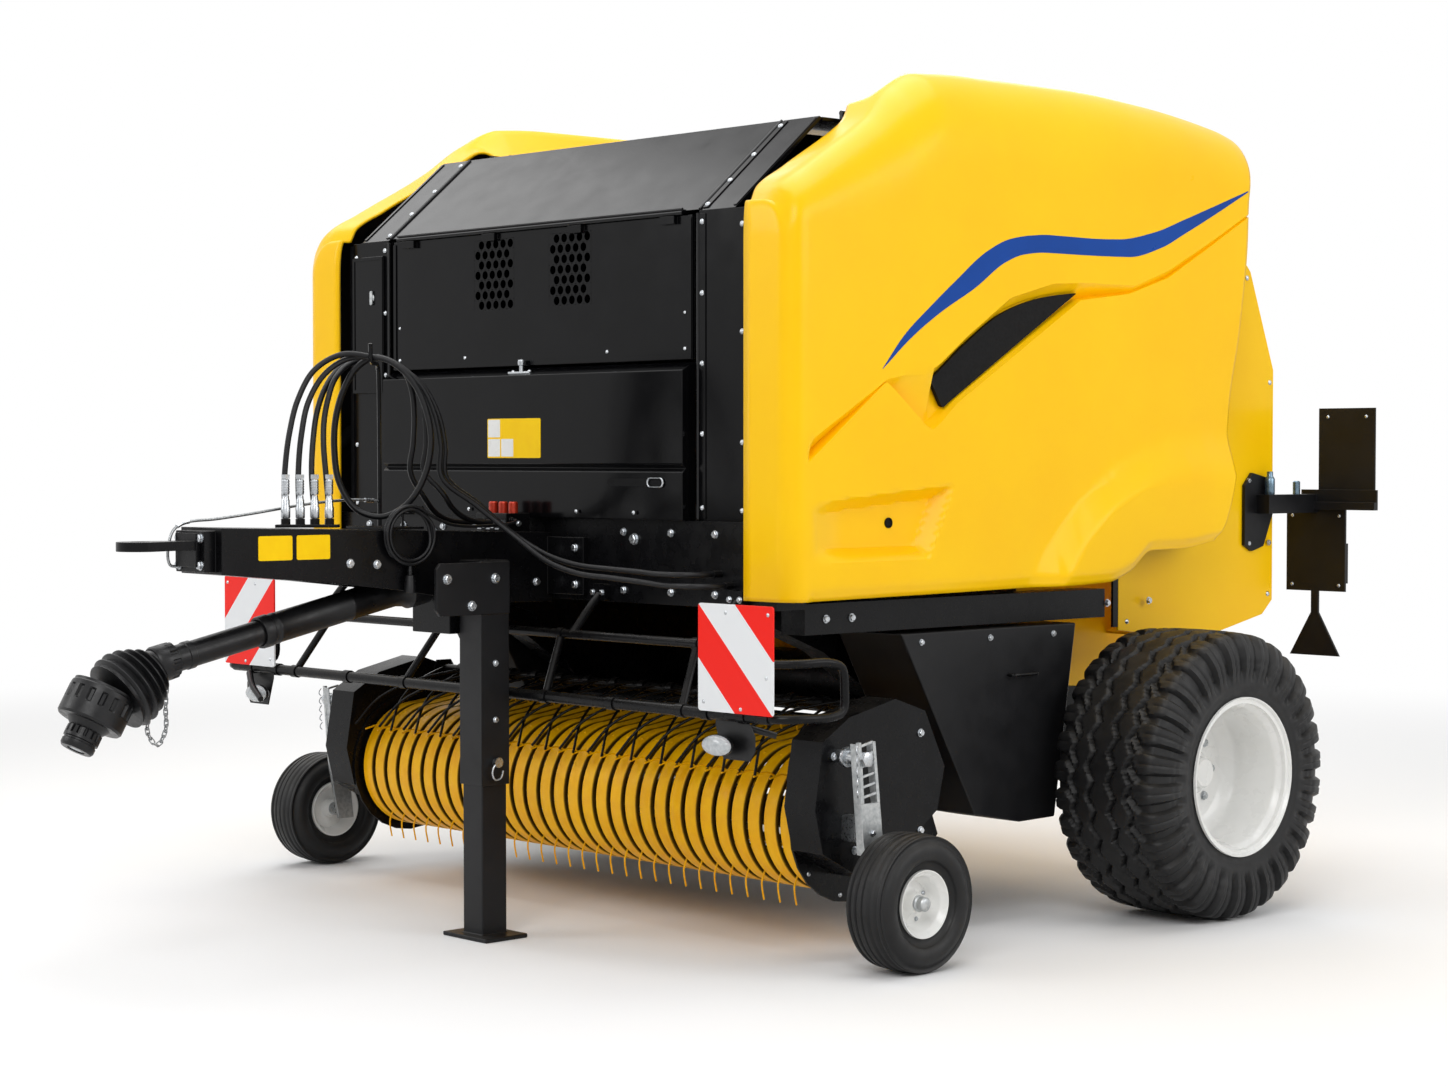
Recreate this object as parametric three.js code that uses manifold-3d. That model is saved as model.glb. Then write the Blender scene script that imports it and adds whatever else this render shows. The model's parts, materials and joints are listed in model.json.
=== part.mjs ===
// Trailed round baler with a fixed roller chamber, parked on its wheels and its drawbar jack.
// Millimetres, +Z up. +X is the machine's left side, -Y points along the drawbar to the tractor.
// Pieces are laid out from the main axle (y = 0) and from the ground (z = 0). The whole machine is
// then shifted along Y, so that its origin is the middle of its footprint.
import * as THREE from 'three';
import { mergeVertices } from 'three/addons/utils/BufferGeometryUtils.js';
import Module from 'manifold-3d';

const wasm = await Module();
wasm.setup();

// ---- Driving dimensions ----

const seatGap = 0.3;
const runningGap = 0.5;

const trackWidth = 2554;
const mainTyreRadius = 425;
const mainTyreWidth = 410;
const mainRimFlangeRadius = 234.6;
const mainRimWidth = 398;
const gaugeTrackWidth = 2678;
const gaugeTyreRadius = 185;
const gaugeTyreWidth = 145;
const gaugeRimFlangeRadius = 91;
const gaugeRimWidth = 112;
const gaugeWheelForward = 1284;

const axleSize = 110;
const axleBeamLength = 2080;

const chamberWidth = 1264;
const chamberRadius = 630;
const chamberForward = 60;
const chamberHeight = 1330;
const rollerGap = 28.4;
const rollerPitchDegrees = 18;
const tailgateHinge = 2230;
const tailgatePin = 22;
const pinSides = 14;
const skinThickness = 6;

const railInner = 650 + seatGap;
const railWidth = 85;
const frontBeamFace = 1485;
const frontBeamDepth = 110;
const frontBeamBottom = 950;
const frontBeamTop = 1185;
const frontBeamHalf = 1040;

const coverOuter = 1120;
const coverFront = 1508;
const coverBottom = 975;
const coverLip = 935;
const coverWall = 8;
const coverHingeX = 800;
const coverHingeZ = 2335;
const coverHingeRod = 8;
const coverHingeCollar = 16.5;

const panelHalf = 695;
const panelThickness = 12;
const frontFace = 1470;
const housingTop = 2035;
const roofHeight = 2310;
const roofFront = 1146;
const cornerOuter = 907;
const roofHalf = 860;
const flapHingeForward = 1478;
const flapHingeHeight = 2034;
const flapHingeRod = 6;

const drawbarHalf = 100;
const drawbarWall = 12;
const drawbarTip = 2609;
const eyeTip = 2857;
const eyeHeight = 1127;
const eyeThickness = 25;
const eyeRadius = 62;
const eyeHole = 27;

const jackForward = 1775;
const jackLegSize = 88;
const jackSleeveWall = 5.5;
const jackFootWidth = 200;
const jackFootLength = 150;
const jackFootThickness = 12;
const jackSleeveBottom = 435;
const jackSleeveTop = 1070;

const shaftRearForward = 1880;
const shaftRearHeight = 1005;
const shaftJointForward = 2885;
const shaftJointHeight = 785;
const shaftOuterRadius = 42;
const shaftInnerRadius = 35;
const shaftStep = 2430;
const bellRadius = 105;
const yokeDownDegrees = 60;
const bellDownDegrees = 32;

const reelForward = 1180;
const reelHeight = 360;
const bandRadius = 200;
const bandThickness = 6;
const bandCount = 31;
const bandPitch = 64.5;
const bandGap = 17;
const tineTipRadius = 263;
const tineTrail = 16;
const tineThickness = 6;
const tineBarRadius = 135;
const tineBars = 4;
const pickupHalf = 1005;
const pickupPlate = 8;
const pickupPivotForward = 620;
const pickupPivotHeight = 650;
const pickupPivotPin = 20;

const guardForward = 1700;
const guardHeight = 690;
const guardTube = 16;
const boardSize = 282;
const boardThickness = 6;
const boardOuter = 1270;
const boardTop = 980;

const cheekOuter = 1020;
const cheekWall = 8;

// ---- Finishes ----

const finishes = {
  yellow: [0xffc905, 0.35, 0.0],
  bandYellow: [0xf2a80a, 0.4, 0.0],
  black: [0x121214, 0.35, 0.2],
  dullBlack: [0x1c1c1e, 0.6, 0.0],
  white: [0xf0f0ee, 0.35, 0.1],
  zinc: [0xb8bcc0, 0.4, 0.9],
  tyre: [0x161617, 0.85, 0.0],
  hose: [0x101012, 0.55, 0.0],
  board: [0xe8e8e8, 0.4, 0.0],
};

const machine = new THREE.Group();

// ---- Shape helpers ----

// Merges a geometry's shared corners, drops slivers and turns its faces outwards.
function closed(geometry) {
  const bare = geometry.clone();
  bare.deleteAttribute('normal');
  bare.deleteAttribute('uv');
  const merged = mergeVertices(bare, 0.001);
  const place = merged.getAttribute('position');
  const index = merged.getIndex().array;
  const kept = [];
  let volume = 0;
  const a = new THREE.Vector3();
  const b = new THREE.Vector3();
  const c = new THREE.Vector3();
  for (let i = 0; i < index.length; i += 3) {
    const [p, q, r] = [index[i], index[i + 1], index[i + 2]];
    if (p === q || q === r || r === p) continue;
    kept.push(p, q, r);
    a.fromBufferAttribute(place, p);
    b.fromBufferAttribute(place, q);
    c.fromBufferAttribute(place, r);
    volume += a.dot(b.cross(c));
  }
  if (volume < 0) kept.reverse();
  merged.setIndex(kept);
  return merged;
}

function solid(geometry) {
  const shape = closed(geometry);
  return new wasm.Manifold(new wasm.Mesh({
    numProp: 3,
    vertProperties: new Float32Array(shape.getAttribute('position').array),
    triVerts: new Uint32Array(shape.getIndex().array),
  }));
}

function geometryOf(manifold) {
  const mesh = manifold.getMesh();
  const geometry = new THREE.BufferGeometry();
  geometry.setAttribute('position', new THREE.BufferAttribute(mesh.vertProperties, 3));
  geometry.setIndex(new THREE.BufferAttribute(mesh.triVerts, 1));
  return geometry;
}

function joined(...shapes) {
  return geometryOf(shapes.map(solid).reduce((whole, piece) => whole.add(piece)));
}

function cut(shape, ...tools) {
  return geometryOf(tools.map(solid).reduce((whole, tool) => whole.subtract(tool), solid(shape)));
}

function box(x0, x1, y0, y1, z0, z1) {
  const shape = new THREE.BoxGeometry(x1 - x0, y1 - y0, z1 - z0);
  return shape.translate((x0 + x1) / 2, (y0 + y1) / 2, (z0 + z1) / 2);
}

// A [y, z] outline carried along X.
function prismX(outline, x0, x1) {
  const shape = new THREE.Shape(outline.map(([y, z]) => new THREE.Vector2(y, z)));
  const body = new THREE.ExtrudeGeometry(shape, { depth: x1 - x0, bevelEnabled: false });
  return body.applyMatrix4(new THREE.Matrix4().set(0, 0, 1, x0, 1, 0, 0, 0, 0, 1, 0, 0, 0, 0, 0, 1));
}

// An [x, z] outline carried along Y.
function prismY(outline, y0, y1) {
  const shape = new THREE.Shape(outline.map(([x, z]) => new THREE.Vector2(x, z)));
  const body = new THREE.ExtrudeGeometry(shape, { depth: y1 - y0, bevelEnabled: false });
  return body.applyMatrix4(new THREE.Matrix4().set(1, 0, 0, 0, 0, 0, -1, y1, 0, 1, 0, 0, 0, 0, 0, 1));
}

// A round bar between two points.
function bar(from, to, radius, sides = 10) {
  const start = new THREE.Vector3(...from);
  const span = new THREE.Vector3(...to).sub(start);
  const body = new THREE.CylinderGeometry(radius, radius, span.length(), sides);
  body.translate(0, span.length() / 2, 0);
  const turn = new THREE.Quaternion().setFromUnitVectors(new THREE.Vector3(0, 1, 0), span.normalize());
  return body.applyQuaternion(turn).translate(start.x, start.y, start.z);
}

function rollerX(x0, x1, y, z, radius, sides = 16) {
  return bar([x0, y, z], [x1, y, z], radius, sides);
}

// A round tube bent through the given points.
function bentTube(points, radius, steps, sides = 8) {
  const path = new THREE.CatmullRomCurve3(points.map((p) => new THREE.Vector3(...p)), false, 'centripetal');
  const ring = new THREE.Shape();
  for (let i = 0; i < sides; i += 1) {
    const angle = (2 * Math.PI * i) / sides;
    const [u, v] = [radius * Math.cos(angle), radius * Math.sin(angle)];
    if (i === 0) ring.moveTo(u, v);
    else ring.lineTo(u, v);
  }
  return new THREE.ExtrudeGeometry(ring, { steps, extrudePath: path, bevelEnabled: false });
}

// A profile of [axial, radius] points turned about a line along X.
function turnedX(profile, x, y, z, sides) {
  const points = profile.map(([axial, radius]) => new THREE.Vector2(radius, axial));
  const body = new THREE.LatheGeometry(points, sides);
  return body.rotateZ(-Math.PI / 2).translate(x, y, z);
}

function mirrored(geometry) {
  return closed(geometry.clone().applyMatrix4(new THREE.Matrix4().makeScale(-1, 1, 1)));
}

function circlePoint(y, z, radius, degrees) {
  const angle = THREE.MathUtils.degToRad(degrees);
  return [y + radius * Math.cos(angle), z + radius * Math.sin(angle)];
}

function arc(y, z, radius, fromDegrees, toDegrees, steps) {
  const points = [];
  for (let i = 0; i <= steps; i += 1) {
    points.push(circlePoint(y, z, radius, fromDegrees + ((toDegrees - fromDegrees) * i) / steps));
  }
  return points;
}

// The value at x of a broken line through [x, value] points.
function along(line, x) {
  if (x <= line[0][0]) return line[0][1];
  for (let i = 1; i < line.length; i += 1) {
    if (x <= line[i][0]) {
      const [x0, a] = line[i - 1];
      const [x1, b] = line[i];
      return a + ((b - a) * (x - x0)) / (x1 - x0);
    }
  }
  return line[line.length - 1][1];
}

// The corner radius of a many-sided hole that clears a round pin all round.
function holeRadius(pin, sides) {
  return (pin + seatGap) / Math.cos(Math.PI / sides);
}

function add(name, geometry, finish) {
  const [color, roughness, metalness] = finishes[finish];
  const material = new THREE.MeshStandardMaterial({ color, roughness, metalness });
  const mesh = new THREE.Mesh(closed(geometry), material);
  mesh.name = name;
  machine.add(mesh);
}

// Adds a left piece and its mirror image on the right.
function addPair(name, geometry, finish) {
  add(`${name}_left`, geometry, finish);
  add(`${name}_right`, mirrored(geometry), finish);
}

// ---- Wheels and axle ----

const hubReach = 136;
const mainWheelSides = 24;
const gaugeWheelSides = 16;

function tyreProfile(radius, width, seat, rimWidth, flangeRadius) {
  const half = width / 2;
  const bead = rimWidth / 2 - 10;
  const shoulder = radius - seat;
  const side = [
    [bead, seat],
    [bead, flangeRadius + 1],
    [half, seat + 0.5 * shoulder],
    [half - 0.02 * width, seat + 0.78 * shoulder],
    [half - 0.09 * width, seat + 0.94 * shoulder],
    [half - 0.26 * width, radius],
  ];
  const inner = side.map(([x, r]) => [-x, r]).reverse();
  return [...side, ...inner, side[0]];
}

function mainWheel() {
  const seat = mainRimFlangeRadius - 20;
  const half = mainRimWidth / 2;
  const tyre = tyreProfile(mainTyreRadius, mainTyreWidth, seat + seatGap, mainRimWidth, mainRimFlangeRadius);
  const rim = [
    [25, 0], [25, 62], [-10, 70], [-10, 160], [25, 195], [half - 40, 203], [half, mainRimFlangeRadius - 6],
    [half, mainRimFlangeRadius], [half - 9, mainRimFlangeRadius], [half - 9, seat], [9 - half, seat],
    [9 - half, mainRimFlangeRadius], [-half, mainRimFlangeRadius], [-half, 203], [-45, 195],
    [-25, 160], [-25, 75], [-hubReach, 75], [-hubReach, 0],
  ];
  addPair('main_tyre', turnedX(tyre, trackWidth / 2, 0, mainTyreRadius, mainWheelSides), 'tyre');
  addPair('main_rim', turnedX(rim, trackWidth / 2, 0, mainTyreRadius, mainWheelSides), 'white');
}

function gaugeWheel() {
  const seat = gaugeRimFlangeRadius - 12;
  const half = gaugeRimWidth / 2;
  const tyre = tyreProfile(gaugeTyreRadius, gaugeTyreWidth, seat + seatGap, gaugeRimWidth, gaugeRimFlangeRadius);
  const rim = [
    [62, 0], [62, 16], [58, 20], [30, 22], [8, 30], [0, 60], [half - 12, 72], [half, gaugeRimFlangeRadius - 4],
    [half, gaugeRimFlangeRadius], [half - 9, gaugeRimFlangeRadius], [half - 9, seat], [9 - half, seat],
    [9 - half, gaugeRimFlangeRadius], [-half, gaugeRimFlangeRadius], [-half, 70], [-10, 60],
    [-12, 30], [-45, 24], [-45, 0],
  ];
  const place = [gaugeTrackWidth / 2, -gaugeWheelForward, gaugeTyreRadius];
  addPair('gauge_tyre', turnedX(tyre, ...place, gaugeWheelSides), 'tyre');
  addPair('gauge_rim', turnedX(rim, ...place, gaugeWheelSides), 'zinc');
}

function axle() {
  const half = axleBeamLength / 2;
  const size = axleSize / 2;
  const hubFace = trackWidth / 2 - hubReach - runningGap;
  const beam = box(-half, half, -size, size, mainTyreRadius - size, mainTyreRadius + size);
  const spindle = rollerX(-hubFace, hubFace, 0, mainTyreRadius, 48, 16);
  add('axle_beam', joined(beam, spindle), 'black');
}

// ---- Main frame and drawbar ----

const axleTop = mainTyreRadius + axleSize / 2;
const fittingRadius = 11;
const fittingFace = -1515;
const bulkheads = [[866, 1012], [820, 1042]];
const blockPorts = [-54, 26];
const blockPortHeight = 1172;
const blockPortFace = -1650;
const cableStart = 66;
const ropeEndForward = 2651;

function chassisFrame() {
  const railOuter = railInner + railWidth;
  const railBottom = axleTop + seatGap;
  const beamRear = frontBeamDepth - frontBeamFace;
  const rail = prismX([
    [130, railBottom], [130, railBottom + 160], [-450, railBottom + 160], [-900, 1000],
    [beamRear - 10, frontBeamTop - 60], [beamRear - 10, frontBeamBottom], [-1000, 800], [-520, railBottom],
  ], railInner, railOuter);
  const frontBeam = box(-frontBeamHalf, frontBeamHalf, -frontBeamFace, beamRear, frontBeamBottom, frontBeamTop);
  const sideBeam = box(frontBeamHalf - 90, frontBeamHalf, beamRear - 5, -110, 880, 965);
  const stay = box(railOuter - 5, frontBeamHalf - 80, -700, -640, 890, 955);
  const upright = box(railOuter - 60, railOuter - 5, -760, -560, 760, 955);
  const shieldStayRear = box(railOuter - 5, 800 - seatGap, -440, -380, 540, 600);
  const shieldStayFront = box(railOuter - 5, 800 - seatGap, -880, -830, 830, 870);
  const fittings = bulkheads.map(([x, z]) => (
    bar([x, -frontBeamFace + 2, z], [x, fittingFace + seatGap, z], fittingRadius, 8)
  ));
  const pivot = rollerX(railOuter - 5, railOuter + 40, -pickupPivotForward, pickupPivotHeight, pickupPivotPin, pinSides);
  const left = [rail, sideBeam, stay, upright, shieldStayRear, shieldStayFront, pivot];
  add('chassis_frame', joined(frontBeam, ...fittings, ...left, ...left.map(mirrored)), 'black');
}

function drawbar() {
  const rear = frontBeamFace + seatGap;
  const side = [
    [-rear, 940], [-rear, 1142], [-drawbarTip, 1174], [-drawbarTip, 1050], [-2266, 1018], [-2031, 991], [-1750, 945],
  ];
  const body = prismX(side, -drawbarHalf, drawbarHalf);
  const hollow = prismX([
    [-rear - 20, 900], [-rear - 20, 1128], [-2320, 1140], [-2320, 900],
  ], drawbarWall - drawbarHalf, drawbarHalf - drawbarWall);
  const head = box(-70, 70, -drawbarTip - 34, 5 - drawbarTip, 1056, 1166);
  const rearPad = box(-260, 260, -rear - 16, -rear, 965, 1130);
  const blockFace = -1620;
  const block = box(-84, 56, blockFace, -1532, 1135, 1198);
  const nipples = blockPorts.map((x) => (
    bar([x, blockFace + 5, blockPortHeight], [x, blockPortFace + seatGap, blockPortHeight], fittingRadius, 8)
  ));
  const rope = bar([-60, -drawbarTip - 20, 1070], [-60, -ropeEndForward + seatGap, 1070], 7, 8);
  const cable = bar([50, -1600, 1178], [cableStart - seatGap, -1600, 1178], 9, 8);
  add('drawbar', joined(cut(body, hollow), head, rearPad, block, ...nipples, rope, cable), 'black');
}

function hitchEye() {
  const neck = drawbarTip + 34 + seatGap;
  const centre = eyeTip - eyeRadius;
  const bottom = eyeHeight - eyeThickness / 2;
  const outline = new THREE.Shape();
  outline.moveTo(48, -neck);
  outline.lineTo(34, -neck - 60);
  outline.absarc(0, -centre, eyeRadius, -0.12, -Math.PI + 0.12, true);
  outline.lineTo(-34, -neck - 60);
  outline.lineTo(-48, -neck);
  const hole = new THREE.Path();
  hole.absarc(0, -centre, eyeHole, 0, 2 * Math.PI, false);
  outline.holes.push(hole);
  const ring = new THREE.ExtrudeGeometry(outline, { depth: eyeThickness, bevelEnabled: false, curveSegments: 12 });
  const foot = box(-50, 50, -neck - 14, -neck, 1070, 1160);
  add('hitch_eye', joined(ring.translate(0, 0, bottom), foot), 'black');
}

function gearbox() {
  const inside = drawbarHalf - drawbarWall - seatGap;
  const block = box(-inside, inside, -1850, -1645, 860, 1110);
  const nose = [[-60, 0], [-60, 45], [-runningGap, 45], [-runningGap, 0]];
  const input = turnedForward(nose, -shaftRearForward, shaftRearHeight, shaftSlope, 18);
  add('gearbox', joined(block, input), 'black');
}

function jack() {
  const leg = jackLegSize / 2;
  const bore = leg + runningGap;
  const sleeve = bore + jackSleeveWall;
  const jackX = drawbarHalf + seatGap + sleeve;
  const y = -jackForward;
  const outer = box(jackX - sleeve, jackX + sleeve, y - sleeve, y + sleeve, jackSleeveBottom, jackSleeveTop);
  const inner = box(jackX - bore, jackX + bore, y - bore, y + bore, jackSleeveBottom - 5, jackSleeveTop + 5);
  const wall = jackX + sleeve;
  const plate = prismX([
    [-1983, 935], [-1970, 919], [y + sleeve, 919], [y + sleeve, 1066], [-1970, 1066], [-1983, 1050],
  ], wall - 8, wall + 4);
  add('jack_sleeve', cut(joined(outer, plate), inner), 'black');
  const foot = box(
    jackX - jackFootWidth / 2, jackX + jackFootWidth / 2, y - jackFootLength / 2, y + jackFootLength / 2,
    0, jackFootThickness,
  );
  const post = box(jackX - leg, jackX + leg, y - leg, y + leg, jackFootThickness - 2, 700);
  add('jack_leg', joined(post, foot), 'black');
}

// ---- Bale chamber ----

// The rollers that fill the chamber's circle at this pitch, with a gap between neighbours.
const halfPitch = Math.sin(THREE.MathUtils.degToRad(rollerPitchDegrees / 2));
const rollerRadius = (chamberRadius * halfPitch - rollerGap / 2) / (1 - halfPitch);
const frontRollers = [99, 117, 135, 153, 171, 189, 207, 252];
const tailRollers = [-81, -63, -45, -27, -9, 9, 27, 45, 63, 81];
const rollerCircle = chamberRadius + rollerRadius;
const plateInner = chamberWidth / 2 + 6;

function rollers(angles, halfLength) {
  return angles.map((degrees) => {
    const [y, z] = circlePoint(-chamberForward, chamberHeight, rollerCircle, degrees);
    return rollerX(-halfLength, halfLength, y, z, rollerRadius, 12);
  });
}

function frontChamber() {
  const split = -chamberForward - 5;
  const outline = [
    [split, 2290], [-1085, 2290], [-1370, 2020], [-1370, 965], [-960, 860], [-760, 620], [-700, 500], [split, 500],
  ];
  const outer = railInner - seatGap;
  const plate = prismX(outline, plateInner, outer);
  const hinge = bar([600, -chamberForward, tailgateHinge], [outer, -chamberForward, tailgateHinge], 68, 24);
  const plateCut = cut(plate, hinge);
  const ear = prismX([
    [-320, 2170], [-320, 2285], [-chamberForward + 40, 2285], [-chamberForward + 40, 2190], [-chamberForward, 2180],
  ], outer - 1, outer + 14);
  const pin = rollerX(610, outer + 12, -chamberForward, tailgateHinge, tailgatePin, pinSides);
  const floor = prismX([[-790, 585], [-640, 505], [-360, 500], [-360, 508], [-640, 514], [-786, 593]], -640, 640);
  const boxFloor = box(-640, 640, -1365, -950, 1640, 1650);
  const boxBack = box(-640, 640, -960, -950, 1640, 2285);
  const left = [plateCut, ear, pin];
  const drums = rollers(frontRollers, plateInner + 2);
  add('chamber_front', joined(boxFloor, boxBack, floor, ...left, ...left.map(mirrored), ...drums), 'black');
}

function tailgate() {
  const split = -chamberForward + 5;
  const centre = [-chamberForward, chamberHeight];
  const reach = rollerCircle + rollerRadius;
  const outline = [
    [split, 1330 - reach], ...arc(...centre, reach + 2, -75, 75, 14), [split + 60, tailgateHinge + 30], [split, tailgateHinge + 30],
  ];
  const outer = plateInner + 6;
  const plate = prismX(outline, plateInner - 6, outer);
  const lobe = bar([plateInner - 6, -chamberForward, tailgateHinge], [outer, -chamberForward, tailgateHinge], 60, 20);
  const holeSize = holeRadius(tailgatePin, pinSides);
  const pinHole = rollerX(600, 700, -chamberForward, tailgateHinge, holeSize, pinSides);
  const left = cut(joined(plate, lobe), pinHole);
  const skinOuter = arc(...centre, reach + 2 + skinThickness, -70, 74, 14);
  const skinInner = arc(...centre, reach + 1, -70, 74, 14).reverse();
  const skin = prismX([...skinOuter, ...skinInner], -plateInner, plateInner);
  const drums = rollers(tailRollers, plateInner - 2);
  add('tailgate_shell', joined(skin, left, mirrored(left), ...drums), 'black');
}

function tailgateCheek() {
  const outline = [
    [-20, 835], [386, 790], [712, 855], [765, 900], [765, 1640], [640, 1950], [620, 1970], [592, 1970],
    [400, 1742], [-20, 1722],
  ];
  const sheet = prismX(outline, cheekOuter - cheekWall, cheekOuter);
  const inner = plateInner + 6 + seatGap;
  const rearReturn = box(inner, cheekOuter - 1, 765 - cheekWall, 765, 900, 1640);
  const lowReturn = prismX([[386, 790], [712, 855], [712, 863], [386, 798]], inner, cheekOuter - 1);
  const brace = prismX([[560, 1000], [765 - cheekWall + 1, 1000], [765 - cheekWall + 1, 1500], [560, 1500]], inner, inner + 8);
  addPair('tailgate_cheek', joined(sheet, rearReturn, lowReturn, brace), 'yellow');
}

// Rear lamp carrier: a folded arm on the cheek, a tall board, a lamp plate and a triangular reflector.
function rearCarrier() {
  const face = cheekOuter + seatGap;
  const back = 925;
  const mount = prismX([
    [600, 1080], [640, 1060], [700, 1075], [760, 1200], [740, 1290], [640, 1310], [600, 1270],
  ], face, face + 12);
  const arm = box(face + 2, face + 62, 660, back, 1180, 1240);
  const cross = box(face + 2, 1310, back - 20, back + 1, 1190, 1215);
  const crossFace = box(face + 2, 1310, back - 6, back + 1, 1190, 1255);
  const tallBoard = box(1085, 1298, back, back + 6, 1195, 1518);
  const lampPlate = box(962, 1188, back, back + 8, 925, 1195);
  const lamp = box(985, 1165, back + 7, back + 52, 950, 1080);
  const stem = box(1058, 1086, back, back + 8, 840, 930);
  const triangle = prismY([[977, 715], [1167, 715], [1072, 880]], back, back + 8);
  addPair('rear_carrier', joined(mount, arm, cross, crossFace, tallBoard, lampPlate, lamp, stem, triangle), 'black');
}

// ---- Housing in front of and above the chamber ----

function roof() {
  const sheet = box(-roofHalf, roofHalf, panelThickness + seatGap - roofFront, -110, roofHeight - 12, roofHeight - 2);
  const rodStart = -1000;
  const rodEnd = -130;
  const rod = bar([coverHingeX, rodStart, coverHingeZ], [coverHingeX, rodEnd, coverHingeZ], coverHingeRod, 10);
  const posts = [-985, -560, -145].map((y) => (
    box(coverHingeX - 6, coverHingeX + 6, y - 15, y + 15, roofHeight - 4, coverHingeZ)
  ));
  const collars = [-900, -200].map((y) => (
    bar([coverHingeX, y - 20, coverHingeZ], [coverHingeX, y + 20, coverHingeZ], coverHingeCollar - runningGap, 16)
  ));
  const left = [rod, ...posts, ...collars];
  add('roof_panel', joined(sheet, ...left, ...left.map(mirrored)), 'black');
}

function slopeBand(x0, x1, lowZ, topZ) {
  const rise = (roofHeight - housingTop) / (frontFace - roofFront);
  const thick = panelThickness;
  const foot = -frontFace + (lowZ - housingTop) / rise;
  const head = -frontFace + (topZ - housingTop) / rise;
  return prismX([[foot, lowZ], [head, topZ], [head + thick, topZ - 4], [foot + thick, lowZ - 4]], x0, x1);
}

function hood() {
  const band = slopeBand(-712, 712, housingTop + 6, roofHeight);
  const rod = rollerX(-660, 660, -flapHingeForward, flapHingeHeight, flapHingeRod, 10);
  const lip = box(-655, 655, -flapHingeForward, 18 - frontFace, flapHingeHeight, housingTop + 9);
  add('upper_hood', joined(band, rod, lip), 'black');
}

function frontCorner() {
  const face = -frontFace;
  const post = box(718, cornerOuter, face, face + panelThickness, frontBeamTop + seatGap, housingTop);
  const slope = slopeBand(718, roofHalf, housingTop, roofHeight);
  const knee = box(718, roofHalf, face, face + panelThickness + 6, housingTop - 20, housingTop + 2);
  const wing = box(718, 730, face + 5, -1371, frontBeamTop + seatGap, housingTop - 10);
  addPair('front_corner', joined(post, slope, knee, wing), 'black');
}

function frontPanel() {
  const face = -frontFace;
  const outer = face - 42;
  const shell = prismX([
    [face + 10, frontBeamTop + seatGap], [outer, frontBeamTop + seatGap], [outer, 1318], [outer + 12, 1330],
    [outer, 1342], [outer, 1600], [face - 2, 1622], [face + 10, 1622],
  ], -panelHalf, panelHalf);
  const hollow = prismX([
    [face + 20, frontBeamTop - 10], [outer + 10, frontBeamTop - 10], [outer + 22, 1330], [outer + 10, 1594],
    [face - 2, 1610], [face + 20, 1610],
  ], 12 - panelHalf, panelHalf - 12);
  const link = box(-panelHalf, panelHalf, face + 5, -1370 - seatGap, 1600, 1622);
  add('front_panel', joined(cut(shell, hollow), link), 'black');
}

function frontFlap() {
  const face = -frontFace;
  const top = flapHingeHeight - flapHingeRod - runningGap;
  const sheet = box(-690, 690, face, face + 10, 1630, top);
  const grilles = [-188, 165].map((x) => box(x - 95, x + 95, face - 10, face + 20, 1800, 2010));
  const knuckles = [-600, -200, 200, 600].map((x) => (
    box(x - 30, x + 30, -flapHingeForward - flapHingeRod, face + 2, 2005, top)
  ));
  add('front_flap', cut(joined(sheet, ...knuckles), ...grilles), 'black');
}

function controlHatch() {
  const face = -frontFace - runningGap;
  add('control_hatch', box(-895, -735, face - 10, face, 1560, 1990), 'black');
}

// ---- Side covers ----

const coverTopLine = [
  [-1500, 2049], [-1480, 2088], [-1375, 2150], [-1116, 2298], [-997, 2391], [-874, 2447], [-664, 2459],
  [-266, 2461], [113, 2441], [464, 2399], [523, 2385],
];
const coverBottomLine = [
  [0, coverBottom], [0.52, 985], [0.7, 992], [0.76, 1020], [0.82, 1082], [0.9, 1084], [1, 1105],
];
const coverRearLine = [
  [1105, 276], [1166, 326], [1320, 376], [1537, 399], [1756, 449], [2038, 487], [2147, 491], [2274, 512], [2400, 520],
];
const coverCornerRadius = 60;
const coverTopLean = 30;

// Where along the cover a station lies: the lip, the rounded front corner, then the long side.
function coverStation(u) {
  if (u < 0) {
    const turn = Math.min(1, -u);
    return { x: coverLip + (1 - turn) * (coverOuter - coverCornerRadius - coverLip), y: -coverFront, side: 0 };
  }
  if (u <= 1) {
    const angle = (u * Math.PI) / 2;
    return {
      x: coverOuter - coverCornerRadius * (1 - Math.sin(angle)),
      y: -coverFront + coverCornerRadius * (1 - Math.cos(angle)),
      side: 0,
    };
  }
  return { x: coverOuter, y: -coverFront + coverCornerRadius, side: u - 1 };
}

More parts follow.
